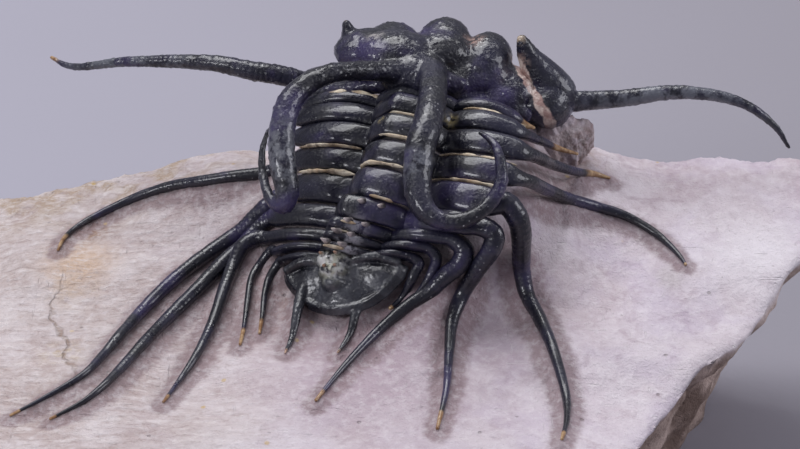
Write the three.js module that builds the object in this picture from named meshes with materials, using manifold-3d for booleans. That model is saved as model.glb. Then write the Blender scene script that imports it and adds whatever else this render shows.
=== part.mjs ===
// A spiny trilobite fossil (Dicranurus) prepared free of a block of pale limestone.
// Millimetres, +Z up, the animal's tail towards -Y and its head towards +Y.
// The matrix rock stands flat on z = 0 and carries nine thorax segments, the tail
// shield, the middle part of the head with its two curled horns, and the two free cheeks.
import * as THREE from 'three';
import { mergeVertices } from 'three/addons/utils/BufferGeometryUtils.js';
import Module from 'manifold-3d';

const wasm = await Module();
wasm.setup();

// Gap between neighbouring pieces of shell, and between the shell and the rock.
const SEAM = 0.3;
const HOVER = 0.42;

// Middle line of the body from the tail edge to the front of the thorax, with its attitude there.
// Each row: x, y, z in mm, then yaw to the right, pitch up and roll (right side up) in degrees.
const BODY = [
  [-7.3, -9.6, 22.7, 5, 34, 14],
  [-5.8, -5.6, 25.6, 8, 35, 14],
  [-3.8, -2.8, 27.9, 14, 38, 15],
  [-1.8, -0.7, 30.2, 19, 42, 15.5],
  [-0.2, 1.8, 32.6, 20, 42, 13],
  [1.0, 5.3, 35.4, 18, 34, 9],
  [2.2, 12.0, 37.0, 14, 10, 3],
  [4.6, 21.5, 36.0, 12, -5, 2],
];

// Rock: heights of its worked surface at places on it, and how far each one reaches.
const GROUND = [
  [-42, -32, 18.0], [-52, -12, 19.0], [-54, 8, 19.5], [-48, 19, 20.3], [-40, 18, 20.8],
  [-34, 18, 23.0], [-28, 17, 25.6], [-18, 14, 28.6], [-12, 22, 25.0], [0, 27, 25.0],
  [13, 22, 28.0], [20, 16, 31.0], [25, 18, 26.6], [31, 17, 26.6], [36, 16, 27.2], [44, 14, 28.2],
  [45, 6, 26.0], [44, -1, 23.5], [36, -12, 20.2], [27, -26, 17.0], [10, -38, 16.5],
  [-15, -40, 17.0], [-32, -10, 19.5], [-24, 4, 21.5], [-10, -15, 20.0], [5, -15, 20.0],
  [20, -8, 21.0], [30, 2, 23.5], [24, 9, 26.0], [-34, 10, 21.5], [-20, -24, 18.5], [0, -28, 18.0],
  [16, -24, 18.0],
];
const GROUND_REACH = 5.0;
const MOUND_DROP = 2.0;
const MOUND_GAP = 0.35;
const MOUND_FLAT = 10.0;
const MOUND_FALL = 9.0;
const MOUND_SLOPE = 8.0;
// Left and right edges of its top: x at even places from the front to the back.
const LEFT_EDGE = [-50, -55, -53, -50];
const RIGHT_EDGE = [17, 20.8, 24.4, 27.4, 31.4, 37, 40.2, 44.4, 46.6, 46.8, 46];
// How far the right side is broken back below its edge.
const UNDERCUT = 9;
const ROCK_COLUMNS = 33;
const ROCK_ROWS = 23;

// Thorax segments, front one first. from/to: place along the body line; bend: half widths to the
// left and right, out to where the side spine starts; droop: fall of the lobe's outer end; ring:
// half width, height, leftward lean and sharpness of the arched middle; spine: radius;
// left and right: places the side spines pass, x and y on the rock (z given where they are free).
const SEGMENTS = [
  { from: 5.72, to: 6.0, bend: [13.4, 11.4], droop: 1.2, ring: [4.1, 2.3, 0.2, 0.7], spine: 0.55,
    left: [[-11.1, 15.6, 35.1], [-12.4, 15.8, 34.4]],
    right: [[13.6, 8.4, 36.0], [14.9, 9.0, 35.2]] },
  { from: 5.3, to: 5.72, bend: [14.4, 12.3], droop: 1.2, ring: [4.1, 2.9, 0.2, 0.6], spine: 0.62,
    left: [[-12.6, 14.0, 33.7], [-13.9, 14.0, 32.9]],
    right: [[14.4, 6.2, 35.5], [15.8, 7.8, 34.1], [17.6, 9.8, 32.3], [19.9, 11.4, 30.8]] },
  { from: 4.74, to: 5.3, bend: [14.4, 13.6], droop: 1.2, ring: [4.1, 3.2, 0.2, 0.4], spine: 0.75,
    left: [[-12.8, 12.2, 32.2], [-14.3, 12.2, 31.2]],
    right: [[15.0, 2.8, 34.7], [16.7, 5.6, 32.5], [19.3, 8.2, 30.3], [21.9, 11.0], [23.6, 11.3]] },
  { from: 4.0, to: 4.74, bend: [14.4, 13.8], droop: 1.1, ring: [4.0, 3.3, 0.2, 0.2], spine: 0.75,
    left: [[-13.3, 10.6, 29.7], [-15.2, 11.0, 28.7], [-18.8, 11.3], [-21.5, 11.8], [-25.6, 13.0],
      [-28.6, 13.4], [-31.5, 13.0], [-34.2, 11.7], [-36.2, 9.7], [-37.5, 7.2], [-38.0, 4.8]],
    right: [[14.1, -1.4, 33.9], [15.6, 1.2, 31.8], [18.2, 4.0, 29.2], [21.7, 5.7], [24.9, 5.3],
      [27.9, 3.5], [29.5, 1.6], [30.6, -0.3], [31.2, -1.7]] },
  { from: 3.0, to: 4.0, bend: [13.2, 13.2], droop: 0.7, ring: [3.9, 3.4, 0.4, 0.2], spine: 1.05,
    left: [[-13.3, 6.7, 27.8], [-15.0, 5.9, 26.8], [-17.0, 4.9], [-18.6, 4.2], [-21.1, 2.3], [-24.7, -2.3],
      [-27.4, -5.7], [-29.8, -11.3], [-31.3, -14.8], [-33.1, -18.9], [-36.2, -21.4], [-40.4, -24.1]],
    right: [[11.3, -5.7, 33.5], [12.4, -6.0, 32.2], [12.9, -6.0, 30.4], [13.0, -5.7, 28.2], [13.1, -5.3],
      [13.6, -6.5], [14.9, -9.8], [16.1, -14.6], [17.3, -20.7], [17.2, -25.0], [16.5, -28.8]] },
  { from: 2.2, to: 3.0, bend: [14.0, 13.0], droop: 0.6, ring: [3.6, 3.9, 0.7, 0.5], spine: 0.95,
    left: [[-15.5, 4.5, 25.3], [-17.2, 2.8], [-19.2, 0.7], [-21.8, -3.7], [-24.5, -7.2], [-26.9, -12.2],
      [-29.3, -17.5], [-31.2, -21.4], [-32.8, -23.1], [-36.2, -25.0]],
    right: [[10.0, -7.8, 30.9], [9.7, -8.2, 29.4], [8.4, -8.2, 27.2], [6.6, -8.3], [5.6, -10.8],
      [5.2, -14.9], [4.8, -21.2], [3.8, -27.0]] },
  { from: 1.74, to: 2.2, bend: [12.6, 10.8], droop: 0.6, ring: [3.3, 3.9, 0.7, 0.7], spine: 0.95,
    left: [[-15.6, 2.4, 25.0], [-17.1, 1.7, 24.5], [-18.2, -0.2], [-19.0, -3.8], [-20.1, -8.8],
      [-21.6, -14.5], [-22.9, -17.6], [-24.6, -22.5]],
    right: [[6.8, -7.4, 28.8], [6.4, -8.0, 27.6], [4.9, -8.6, 26.4], [3.2, -9.0], [0.9, -9.9],
      [-2.0, -12.2], [-5.6, -17.4], [-8.8, -23.1]] },
  { from: 1.42, to: 1.74, bend: [10.2, 8.8], droop: 0.6, ring: [2.9, 3.7, 0.7, 0.7], spine: 0.5,
    left: [[-14.0, 0.0, 24.8], [-15.4, -0.6], [-16.1, -2.2], [-16.5, -6.0], [-16.7, -9.3], [-17.0, -13.1]],
    right: [[3.9, -7.0, 27.6], [3.5, -7.9, 26.6], [2.6, -8.7, 25.3], [1.4, -9.6, 24.2]] },
  { from: 1.15, to: 1.42, bend: [8.6, 7.2], droop: 0.6, ring: [2.5, 3.3, 0.6, 0.7], spine: 0.5,
    left: [[-12.9, -1.9, 24.6], [-14.1, -2.6], [-14.6, -4.6], [-14.8, -7.4], [-15.0, -11.0]],
    right: [[2.0, -7.0, 27.0], [1.4, -8.1, 26.0], [0.2, -8.6], [-1.2, -9.4]] },
];
const TIP_RADIUS = 0.14;
const SHELL_HALF_THICKNESS = 0.62;

// Tail shield: half width, length behind and before its widest line, where that line lies in the
// body's directions, and its two spines.
const TAIL = { half: 7.2, rear: 5.1, front: 1.3, place: [0.3, 1.6, 0.3], spineRadius: 0.58 };
const TAIL_SPINES = [
  [[-10.0, -5.9, 23.9], [-10.6, -6.8, 23.2], [-11.0, -9.4, 22.3], [-11.5, -12.0], [-12.2, -15.2]],
  [[-3.9, -7.7, 25.1], [-4.2, -8.6, 24.1], [-4.8, -10.6, 22.6], [-5.3, -12.0], [-6.7, -14.9]],
];

// Head horns: centre lines from the neck ring outwards, x, y, z and radius.
const HORNS = [
  [[1.9, 13.4, 40.0, 1.5], [0.4, 12.0, 40.7, 1.35], [-1.5, 11.0, 41.2, 1.2], [-4.2, 9.6, 41.9, 1.1],
    [-7.3, 7.8, 42.5, 1.1], [-10.2, 6.0, 41.9, 1.25], [-11.85, 4.2, 40.8, 1.4], [-12.6, 2.2, 39.1, 1.45],
    [-12.75, 0.4, 37.2, 1.46], [-12.5, -1.2, 35.3, 1.46], [-12.1, -2.5, 33.4, 1.35],
    [-12.3, -3.1, 32.2, 1.12], [-13.1, -2.9, 31.8, 0.82], [-14.1, -1.6, 32.3, 0.62],
    [-14.8, 0.8, 33.5, 0.54], [-15.0, 2.6, 34.9, 0.46], [-14.6, 4.2, 36.5, 0.36], [-13.6, 5.6, 37.8, 0.22]],
  [[3.2, 12.8, 40.8, 1.5], [3.6, 9.6, 40.8, 1.55], [3.5, 4.8, 40.7, 1.6], [2.8, 0.0, 39.6, 1.66],
    [2.1, -2.4, 38.3, 1.66], [1.9, -4.4, 36.5, 1.58], [1.9, -6.2, 35.1, 1.48], [2.6, -7.8, 33.9, 1.28],
    [4.2, -8.8, 33.2, 1.02], [6.1, -9.2, 33.2, 0.92], [8.1, -8.8, 33.9, 0.87], [9.8, -7.8, 35.1, 0.82],
    [10.7, -6.6, 36.6, 0.75], [10.6, -4.8, 38.3, 0.64], [9.9, -3.0, 39.4, 0.48],
    [8.3, -1.0, 39.8, 0.28]],
];
// Head: balls stretched in the head's directions (place to the right, ahead and up, then radii),
// then the rolled rear borders and the broken left eye, x, y, z and radius.
const HEAD_LUMPS = [
  [[-0.4, 5.8, 0.8], [9.6, 5.2, 2.6]],
  [[-4.5, 5.6, 2.7], [3.5, 4.3, 2.7]],
  [[-7.4, 5.4, 2.2], [2.8, 3.8, 2.5]],
  [[1.2, 7.6, 2.8], [3.0, 3.6, 2.6]],
  [[6.1, 6.9, 1.4], [2.9, 3.9, 2.7]],
  [[-0.8, 3.1, 3.4], [3.3, 2.2, 1.8]],
  [[-0.2, 1.4, 1.5], [5.4, 1.5, 2.2]],
  [[8.6, 4.9, -1.1], [3.6, 3.6, 2.3]],
  [[0.0, 8.2, 0.2], [8.6, 4.6, 1.8]],
];
const HEAD_BORDERS = [
  [[0.0, 13.6, 38.4, 1.1], [-3.1, 14.3, 37.8, 0.9], [-7.3, 15.9, 36.7, 0.8], [-10.6, 17.2, 35.6, 0.7]],
  [[-5.0, 18.4, 39.4, 1.6], [-5.3, 18.5, 41.0, 1.35], [-5.7, 18.6, 42.4, 0.9], [-6.2, 18.8, 43.9, 0.4]],
  [[3.6, 13.0, 37.8, 1.3], [7.8, 12.6, 36.7, 1.3], [11.6, 12.0, 36.2, 1.25], [14.6, 11.6, 35.2, 0.9]],
];

// Free cheeks, left and right: lumps as above, then the long genal spine and the stalked eye.
const CHEEKS = [
  { lumps: [[[-12.6, 3.6, -2.1], [3.4, 4.0, 2.3]]],
    rods: [[[-9.7, 18.2, 35.9, 1.15], [-12.3, 16.8, 37.7, 1.15], [-16.5, 16.4, 38.7, 1.1],
      [-20.7, 17.5, 39.1, 0.95], [-30.6, 21.0, 37.7, 0.6], [-37.7, 24.0, 35.7, 0.4],
      [-40.2, 26.0, 36.0, 0.2]]] },
  { lumps: [[[13.4, 6.2, -3.0], [2.7, 4.0, 2.9]], [[12.0, 5.4, -2.6], [2.6, 3.2, 2.3]]],
    rods: [[[15.4, 14.4, 36.2, 1.3], [17.9, 15.0, 35.6, 1.25], [24.6, 15.5, 35.7, 1.0],
      [31.3, 15.5, 36.5, 0.8], [38.0, 15.0, 35.5, 0.6], [41.9, 14.7, 32.8, 0.42], [43.9, 14.5, 29.9, 0.2]],
    [[16.2, 15.6, 36.7, 2], [15.0, 16.0, 39.0, 1.5], [13.7, 16.0, 41.2, 1.15], [13.2, 15.6, 43.4, 0.5]]] },
];

// Rough pillar of rock left standing under the right genal spine: centre and radii.
const PILLAR = [
  [[18.6, 14.2, 30.6], [2.5, 2.2, 3.6]],
  [[16.8, 13.6, 30.4], [2.0, 2.0, 3.6]],
  [[20.6, 14.4, 31.4], [1.2, 1.2, 2.2]],
];

const smooth = (v) => {
  const t = Math.min(1, Math.max(0, v));
  return t * t * (3 - 2 * t);
};
const mix = (a, b, t) => a + (b - a) * t;

// Smooth line through the rows of BODY; also used for the three angles.
function along(rows, place, first) {
  const i = Math.min(Math.floor(place), rows.length - 2);
  const f = place - i;
  const read = (k, c) => {
    if (k < 0) return 2 * rows[0][c] - rows[1][c];
    if (k >= rows.length) return 2 * rows[rows.length - 1][c] - rows[rows.length - 2][c];
    return rows[k][c];
  };
  const values = [0, 1, 2].map((n) => {
    const c = first + n;
    const p1 = read(i, c);
    const p2 = read(i + 1, c);
    const a = 0.5 * (p2 - read(i - 1, c));
    const b = 0.5 * (read(i + 2, c) - p1);
    const f2 = f * f;
    const f3 = f2 * f;
    return (2 * f3 - 3 * f2 + 1) * p1 + (f3 - 2 * f2 + f) * a + (3 * f2 - 2 * f3) * p2 + (f3 - f2) * b;
  });
  return new THREE.Vector3(...values);
}

// Place and directions of the body: right, forward and up.
function bodyFrame(place) {
  const at = along(BODY, place, 0);
  const angles = along(BODY, place, 3).multiplyScalar(Math.PI / 180);
  const turn = new THREE.Matrix4().makeRotationZ(-angles.x);
  turn.multiply(new THREE.Matrix4().makeRotationX(angles.y));
  turn.multiply(new THREE.Matrix4().makeRotationY(-angles.z));
  const right = new THREE.Vector3();
  const forward = new THREE.Vector3();
  const up = new THREE.Vector3();
  turn.extractBasis(right, forward, up);
  return { at, right, forward, up };
}

const MOUND_LINE = Array.from({ length: 29 }, (unused, i) => {
  const at = along(BODY, i * 0.25, 0);
  const [yaw, pitch, roll] = along(BODY, i * 0.25, 3).multiplyScalar(Math.PI / 180).toArray();
  const z = at.z - MOUND_DROP / Math.cos(pitch) - MOUND_GAP;
  return { x: at.x, y: at.y, z, c: Math.cos(yaw), s: Math.sin(yaw), lean: Math.sin(roll) };
});

// Height of the rock surface at a place.
function rockTop(x, y) {
  let sum = 0;
  let weight = 0;
  for (const [a, b, z] of GROUND) {
    const k = Math.exp(-((x - a) ** 2 + (y - b) ** 2) / (2 * GROUND_REACH ** 2)) + 1e-6;
    sum += k * z;
    weight += k;
  }
  const ground = sum / weight + 0.25 * Math.sin(0.31 * x + 0.2 * y) * Math.sin(0.27 * y - 0.11 * x + 1);
  sum = 0;
  weight = 0;
  let before = 0;
  let after = 0;
  MOUND_LINE.forEach((p, i) => {
    const side = (x - p.x) * p.c - (y - p.y) * p.s;
    const ahead = (x - p.x) * p.s + (y - p.y) * p.c;
    if (i === 0) before = -ahead;
    after = ahead;
    const k = Math.exp(-((ahead / 1.3) ** 2)) + 1e-12 / (1 + ahead * ahead);
    const out = Math.abs(side) - MOUND_FLAT;
    const fall = MOUND_FALL * smooth(out / MOUND_SLOPE) + 1.2 * Math.max(0, out - MOUND_SLOPE);
    sum += k * (p.z + p.lean * side - fall);
    weight += k;
  });
  const mound = sum / weight - 0.12 * Math.max(0, before, after) ** 2;
  const high = Math.max(ground, mound);
  return high + Math.log(Math.exp(ground - high) + Math.exp(mound - high));
}

function toSolid(geometry) {
  geometry.deleteAttribute('normal');
  geometry.deleteAttribute('uv');
  const merged = mergeVertices(geometry, 1e-5);
  const mesh = new wasm.Mesh({
    numProp: 3,
    vertProperties: new Float32Array(merged.attributes.position.array),
    triVerts: new Uint32Array(merged.index.array),
  });
  return new wasm.Manifold(mesh);
}

// Outline of a side lobe, seen from its end: a raised rear ridge and a shallow furrow before it.
const LOBE_SECTION = [
  [0.0, -1.0], [0.82, -1.0], [1.0, -0.2], [0.8, 0.35], [0.0, 0.7], [-0.72, 1.05], [-1.0, 0.1], [-0.82, -1.0],
];

// A cylinder bent along stations: each has a centre, side and up direction, half width, half
// thickness, and how far its section is a lobe (1) or round (0).
function bentRod(stations, sides) {
  const steps = stations.length - 1;
  const geometry = new THREE.CylinderGeometry(1, 1, 1, sides, steps, false);
  const position = geometry.attributes.position;
  const p = new THREE.Vector3();
  for (let i = 0; i < position.count; i += 1) {
    p.fromBufferAttribute(position, i);
    const s = stations[Math.round((0.5 - p.y) * steps)];
    const radius = Math.hypot(p.x, p.z);
    let across = p.x;
    let height = p.z;
    if (radius > 0.5 && s.lobe > 0) {
      const turn = (Math.atan2(p.x, -p.z) / (2 * Math.PI) + 1) % 1;
      const corner = LOBE_SECTION[Math.round(turn * 8) % 8];
      across = mix(p.x, corner[0], s.lobe);
      height = mix(p.z, corner[1], s.lobe);
    }
    const at = s.at.clone();
    at.addScaledVector(s.side, across * s.half);
    at.addScaledVector(s.up, height * s.thick);
    position.setXYZ(i, at.x, at.y, at.z);
  }
  return toSolid(geometry);
}

// The side direction of a spine's section is level when seen from the front and somewhat above.
const ABOVE = new THREE.Vector3(0, -0.45, 0.9);
const AXES = [new THREE.Vector3(1, 0, 0), new THREE.Vector3(0, 1, 0), new THREE.Vector3(0, 0, 1)];

// Stations of a round tapering spine through the points of a line.
function spineStations(points, count, radiusAt, grow) {
  const curve = new THREE.CatmullRomCurve3(points);
  const stations = [];
  for (let i = 0; i <= count; i += 1) {
    const t = i / count;
    const going = curve.getTangentAt(t);
    const side = new THREE.Vector3().crossVectors(ABOVE, going).normalize();
    const up = new THREE.Vector3().crossVectors(going, side).normalize();
    const at = curve.getPointAt(t);
    if (i === 0) at.addScaledVector(going, -grow);
    if (i === count) at.addScaledVector(going, grow);
    const radius = radiusAt(t) + grow;
    stations.push({ at, side, up, half: radius, thick: radius, lobe: 0 });
  }
  return stations;
}

// The points a side spine passes, from its root outwards; it lies just over the rock where no
// height is given, ever closer as it tapers.
const taper = (root, share) => mix(root, TIP_RADIUS, share ** 1.7);
const spinePoints = (rows, radius) => rows.map(([x, y, z], i) => {
  const rest = rockTop(x, y) + taper(radius, (i + 1) / rows.length) + HOVER;
  return new THREE.Vector3(x, y, z ?? rest);
});

// Height of a segment's middle line over the body line, at a distance to the side. A sharp ring
// has its crest left of the middle and a straight right flank.
function lobeHeight(v, segment) {
  const [half, height, , sharp] = segment.ring;
  const u = v / half;
  if (Math.abs(u) < 1) {
    const crest = 1 - Math.abs(u + 0.3) / (u < -0.3 ? 0.7 : 1.3);
    return 0.2 + height * mix(Math.sqrt(1 - u * u), 0.12 + 0.88 * crest, sharp);
  }
  const p = (Math.abs(v) - half) / (segment.bend[v < 0 ? 0 : 1] - half);
  return 0.2 + 0.9 * Math.sin(Math.PI * Math.min(1, p)) - segment.droop * p * p;
}

function thoraxSegment(segment, grow) {
  const frame = bodyFrame((segment.from + segment.to) / 2);
  const front = bodyFrame(segment.to).at;
  const length = front.distanceTo(bodyFrame(segment.from).at);
  const half = length / 2 - SEAM / 2;
  const [ringHalf, , ringLean] = segment.ring;
  const places = [-0.95, -0.78, -0.6, -0.45].map((k) => k * segment.bend[0]);
  places.push(...[-1.06, -0.985, -0.86, -0.55, 0, 0.55, 0.86, 0.985, 1.06].map((k) => k * ringHalf));
  places.push(...[0.45, 0.6, 0.78, 0.95].map((k) => k * segment.bend[1]));
  const body = places.map((v) => {
    const lean = ringLean * Math.sqrt(Math.max(0, 1 - (v / ringHalf) ** 2));
    const at = frame.at.clone().addScaledVector(frame.right, v - lean);
    return at.addScaledVector(frame.up, lobeHeight(v, segment));
  });
  const left = spinePoints(segment.left, segment.spine).reverse();
  const right = spinePoints(segment.right, segment.spine);
  const points = [...left, ...body, ...right];
  const curve = new THREE.CatmullRomCurve3(points);
  const last = points.length - 1;
  const firstBody = left.length;
  const lastBody = firstBody + body.length - 1;
  const marks = [];
  for (let i = 0; i <= last; i += 1) {
    marks.push(i);
    if (i === firstBody - 1 || i === lastBody) marks.push(i + 0.5);
  }
  const stations = marks.map((mark) => {
    const t = mark / last;
    const at = curve.getPoint(t);
    const going = curve.getTangent(t);
    const away = Math.max(firstBody - mark, mark - lastBody);
    const spineLength = mark < firstBody ? firstBody : last - lastBody;
    const lobe = 1 - smooth((away + 0.6) / 1.6);
    const radius = taper(segment.spine, Math.max(0, away) / spineLength);
    if (away > 1) at.z = Math.max(at.z, rockTop(at.x, at.y) + radius + HOVER);
    const flat = new THREE.Vector3().crossVectors(ABOVE, going).normalize();
    const side = flat.lerp(frame.forward, lobe).normalize();
    const up = new THREE.Vector3().crossVectors(going, side).normalize();
    side.crossVectors(up, going).normalize();
    if (mark === 0) at.addScaledVector(going, -grow);
    if (mark === last) at.addScaledVector(going, grow);
    return {
      at, side, up, lobe,
      half: mix(radius, half, lobe) + grow,
      thick: mix(radius, SHELL_HALF_THICKNESS, lobe) + grow,
    };
  });
  return bentRod(stations, 8);
}

// A lump: a ball stretched in the body's directions and set at a place in them.
function lump(frame, place, radii, grow, sides = 10) {
  const ball = new THREE.SphereGeometry(1, sides, Math.round(sides * 0.6));
  const basis = new THREE.Matrix4().makeBasis(frame.right, frame.forward, frame.up);
  const at = frame.at.clone();
  at.addScaledVector(frame.right, place[0]);
  at.addScaledVector(frame.forward, place[1]);
  at.addScaledVector(frame.up, place[2]);
  const size = radii.map((r) => r + grow);
  ball.rotateX(Math.PI / 2);
  ball.scale(...size);
  ball.applyMatrix4(basis.setPosition(at));
  return toSolid(ball);
}

const joined = (solids) => wasm.Manifold.union(solids);

function tailShield(grow) {
  const frame = bodyFrame(0.62);
  const plate = new THREE.SphereGeometry(1, 24, 8);
  plate.rotateX(Math.PI / 2);
  const position = plate.attributes.position;
  const p = new THREE.Vector3();
  for (let i = 0; i < position.count; i += 1) {
    p.fromBufferAttribute(position, i);
    const reach = Math.hypot(p.x, p.y);
    const angle = Math.atan2(p.x, -p.y);
    const scallop = 1 + 0.07 * Math.cos(3 * angle) * smooth(1.9 - Math.abs(angle));
    const x = p.x * scallop * (TAIL.half + grow) + TAIL.place[0];
    const y = p.y * scallop * ((p.y < 0 ? TAIL.rear : TAIL.front) + grow) + TAIL.place[1];
    const z = p.z * (0.75 + grow) - 0.9 * reach * reach * Math.min(1, Math.abs(p.x) + 0.3) + TAIL.place[2];
    const at = frame.at.clone().addScaledVector(frame.right, x);
    at.addScaledVector(frame.forward, y).addScaledVector(frame.up, z);
    position.setXYZ(i, at.x, at.y, at.z);
  }
  const parts = [toSolid(plate)];
  parts.push(lump(frame, [-0.5, 2.0, 1.2], [2.0, 1.0, 1.9], grow));
  parts.push(lump(frame, [-0.45, 0.8, 1.0], [1.7, 1.0, 1.7], grow));
  parts.push(lump(frame, [-0.4, -0.4, 0.8], [1.4, 1.0, 1.2], grow));
  for (const rows of TAIL_SPINES) {
    const points = spinePoints(rows, TAIL.spineRadius);
    parts.push(bentRod(spineStations(points, 8, (t) => taper(0.62, t), grow), 8));
  }
  return joined(parts);
}

// A curved horn, eye stalk or ridge through rows of x, y, z and radius.
function taperedRod(rows, count, grow) {
  const points = rows.map(([x, y, z]) => new THREE.Vector3(x, y, z));
  const radiusAt = (t) => {
    const k = t * (rows.length - 1);
    const i = Math.min(Math.floor(k), rows.length - 2);
    return mix(rows[i][3], rows[i + 1][3], k - i);
  };
  return bentRod(spineStations(points, count, radiusAt, grow), 8);
}

function cranidium(grow) {
  const frame = bodyFrame(6.0);
  const parts = HEAD_LUMPS.map(([place, radii]) => lump(frame, place, radii, grow));
  for (const rows of HORNS) parts.push(taperedRod(rows, 30, grow));
  for (const rows of HEAD_BORDERS) parts.push(taperedRod(rows, 6, grow));
  return joined(parts);
}

function freeCheek(side, grow) {
  const frame = bodyFrame(6.0);
  const cheek = CHEEKS[side < 0 ? 0 : 1];
  const parts = cheek.lumps.map(([place, radii]) => lump(frame, place, radii, grow));
  cheek.rods.forEach((rows, i) => parts.push(taperedRod(rows, i === 0 ? 18 : 5, grow)));
  return joined(parts);
}

// The block: a box whose sides follow the broken outline and whose top is the rock surface.
function rockBlock() {
  const box = new THREE.BoxGeometry(2, 2, 2, ROCK_COLUMNS, ROCK_ROWS, 3);
  const position = box.attributes.position;
  const p = new THREE.Vector3();
  const leftEdge = new THREE.CatmullRomCurve3(LEFT_EDGE.map((x, i) => new THREE.Vector3(x, i, 0)));
  const rightEdge = new THREE.CatmullRomCurve3(RIGHT_EDGE.map((x, i) => new THREE.Vector3(x, i, 0)));
  for (let i = 0; i < position.count; i += 1) {
    p.fromBufferAttribute(position, i);
    const u = (p.x + 1) / 2;
    const v = (p.y + 1) / 2;
    const left = leftEdge.getPoint(v).x;
    const right = rightEdge.getPoint(v).x;
    let x = mix(left, right, u);
    const front = -37.5 - 1.6 * Math.sin(2.6 * u + 0.4) + 0.9 * Math.sin(11 * u);
    const hollow = 3.2 * smooth((u - 0.66) / 0.12);
    const back = 21 + 4.0 * Math.sin(Math.PI * u) ** 4 - hollow + 0.4 * Math.sin(17 * u);
    let y = mix(front, back, v);
    const top = rockTop(x, y);
    const depth = (1 - p.z) / 2;
    const side = Math.max(Math.abs(p.x), Math.abs(p.y));
    const bulge = 2.4 * Math.sin(Math.PI * Math.min(1, depth * 1.1)) - 3.0 * depth;
    const ragged = 0.7 * Math.sin(0.55 * x + 0.4 * y + 5 * depth) + 0.4 * Math.sin(1.3 * x - 0.9 * y);
    if (side > 0.999 && depth > 0.01) {
      x -= UNDERCUT * smooth(2.2 * depth) * smooth(2 * u - 1) * (0.8 + 0.2 * smooth(3 * v));
      x += Math.sign(p.x) * smooth((Math.abs(p.x) - 0.9) / 0.1) * (bulge + ragged);
      y += Math.sign(p.y) * smooth((Math.abs(p.y) - 0.9) / 0.1) * (bulge + ragged);
    }
    position.setXYZ(i, x, y, mix(top, -3, depth));
  }
  const block = toSolid(box).trimByPlane([0, 0, 1], 0);
  const level = { at: new THREE.Vector3(), right: AXES[0], forward: AXES[1], up: AXES[2] };
  return joined([block, ...PILLAR.map(([place, radii]) => lump(level, place, radii, 0))]);
}

function addPiece(group, name, solid, colour, roughness) {
  const mesh = solid.getMesh();
  const geometry = new THREE.BufferGeometry();
  geometry.setAttribute('position', new THREE.BufferAttribute(mesh.vertProperties, 3));
  geometry.setIndex(new THREE.BufferAttribute(mesh.triVerts, 1));
  geometry.computeVertexNormals();
  const material = new THREE.MeshStandardMaterial({ color: colour, roughness, metalness: 0 });
  const piece = new THREE.Mesh(geometry, material);
  piece.name = name;
  group.add(piece);
}

const dicranurus = new THREE.Group();
dicranurus.name = 'dicranurus_fossil';

// The largest body of a cut solid; thin slivers that a cut leaves loose are dropped.
function whole(solid) {
  const bodies = solid.decompose();
  bodies.sort((a, b) => b.volume() - a.volume());
  return bodies[0];
}

const SHELL_COLOUR = 0x17161b;
const ROCK_COLOUR = 0xb9a9a3;
const grown = [];
const keep = (name, solid, larger) => {
  addPiece(dicranurus, name, whole(solid), SHELL_COLOUR, 0.3);
  grown.push(larger);
};

const middleHead = cranidium(0);
const middleHeadGrown = cranidium(SEAM);
keep('cranidium', middleHead, middleHeadGrown);
keep('free_cheek_left', freeCheek(-1, 0).subtract(middleHeadGrown), freeCheek(-1, SEAM));
keep('free_cheek_right', freeCheek(1, 0).subtract(middleHeadGrown), freeCheek(1, SEAM));
SEGMENTS.forEach((segment, i) => {
  let solid = thoraxSegment(segment, 0);
  for (const other of grown) solid = solid.subtract(other);
  keep(`thorax_segment_${i + 1}`, solid, thoraxSegment(segment, SEAM * 0.8));
});
let tail = tailShield(0);
for (const other of grown) tail = tail.subtract(other);
keep('pygidium', tail, tailShield(SEAM));
let rock = rockBlock();
for (const other of grown) rock = rock.subtract(other);
addPiece(dicranurus, 'matrix', whole(rock), ROCK_COLOUR, 0.85);

export default dicranurus;
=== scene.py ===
import math

import bmesh
import bpy
import numpy as np
from mathutils import Matrix, Vector, noise


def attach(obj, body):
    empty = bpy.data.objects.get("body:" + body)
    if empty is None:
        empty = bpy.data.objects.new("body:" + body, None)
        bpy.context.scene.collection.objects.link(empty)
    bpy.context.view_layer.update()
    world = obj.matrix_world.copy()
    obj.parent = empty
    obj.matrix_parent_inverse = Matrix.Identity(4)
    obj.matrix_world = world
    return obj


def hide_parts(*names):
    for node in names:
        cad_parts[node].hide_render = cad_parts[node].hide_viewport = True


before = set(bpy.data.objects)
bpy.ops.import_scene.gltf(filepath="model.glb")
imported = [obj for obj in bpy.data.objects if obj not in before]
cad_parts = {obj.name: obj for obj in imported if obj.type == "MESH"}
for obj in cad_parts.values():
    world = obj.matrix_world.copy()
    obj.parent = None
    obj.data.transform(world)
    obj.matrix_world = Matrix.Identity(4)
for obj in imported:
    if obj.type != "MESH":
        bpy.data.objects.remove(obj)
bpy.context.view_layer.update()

# The studio: a long lens looking down over the tail, a pale table top that runs far back as the
# backdrop, a large soft light and a narrow strip from above and behind, and two weak fills.
camera = bpy.data.objects.new("camera", bpy.data.cameras.new("camera"))
bpy.context.scene.collection.objects.link(camera)
camera.location = (0.0, -0.3002, 0.1876)
camera.rotation_euler = (math.radians(62), 0, 0)
camera.data.lens = 140.7
camera.data.sensor_width = 36
camera.data.clip_start = 0.01
bpy.context.scene.camera = camera
bpy.context.scene.view_settings.view_transform = "Standard"

world = bpy.data.worlds.new("studio")
bpy.context.scene.world = world
world.use_nodes = True
world.node_tree.nodes["Background"].inputs["Color"].default_value = (0.80, 0.80, 0.92, 1)
world.node_tree.nodes["Background"].inputs["Strength"].default_value = 0.30


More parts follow.
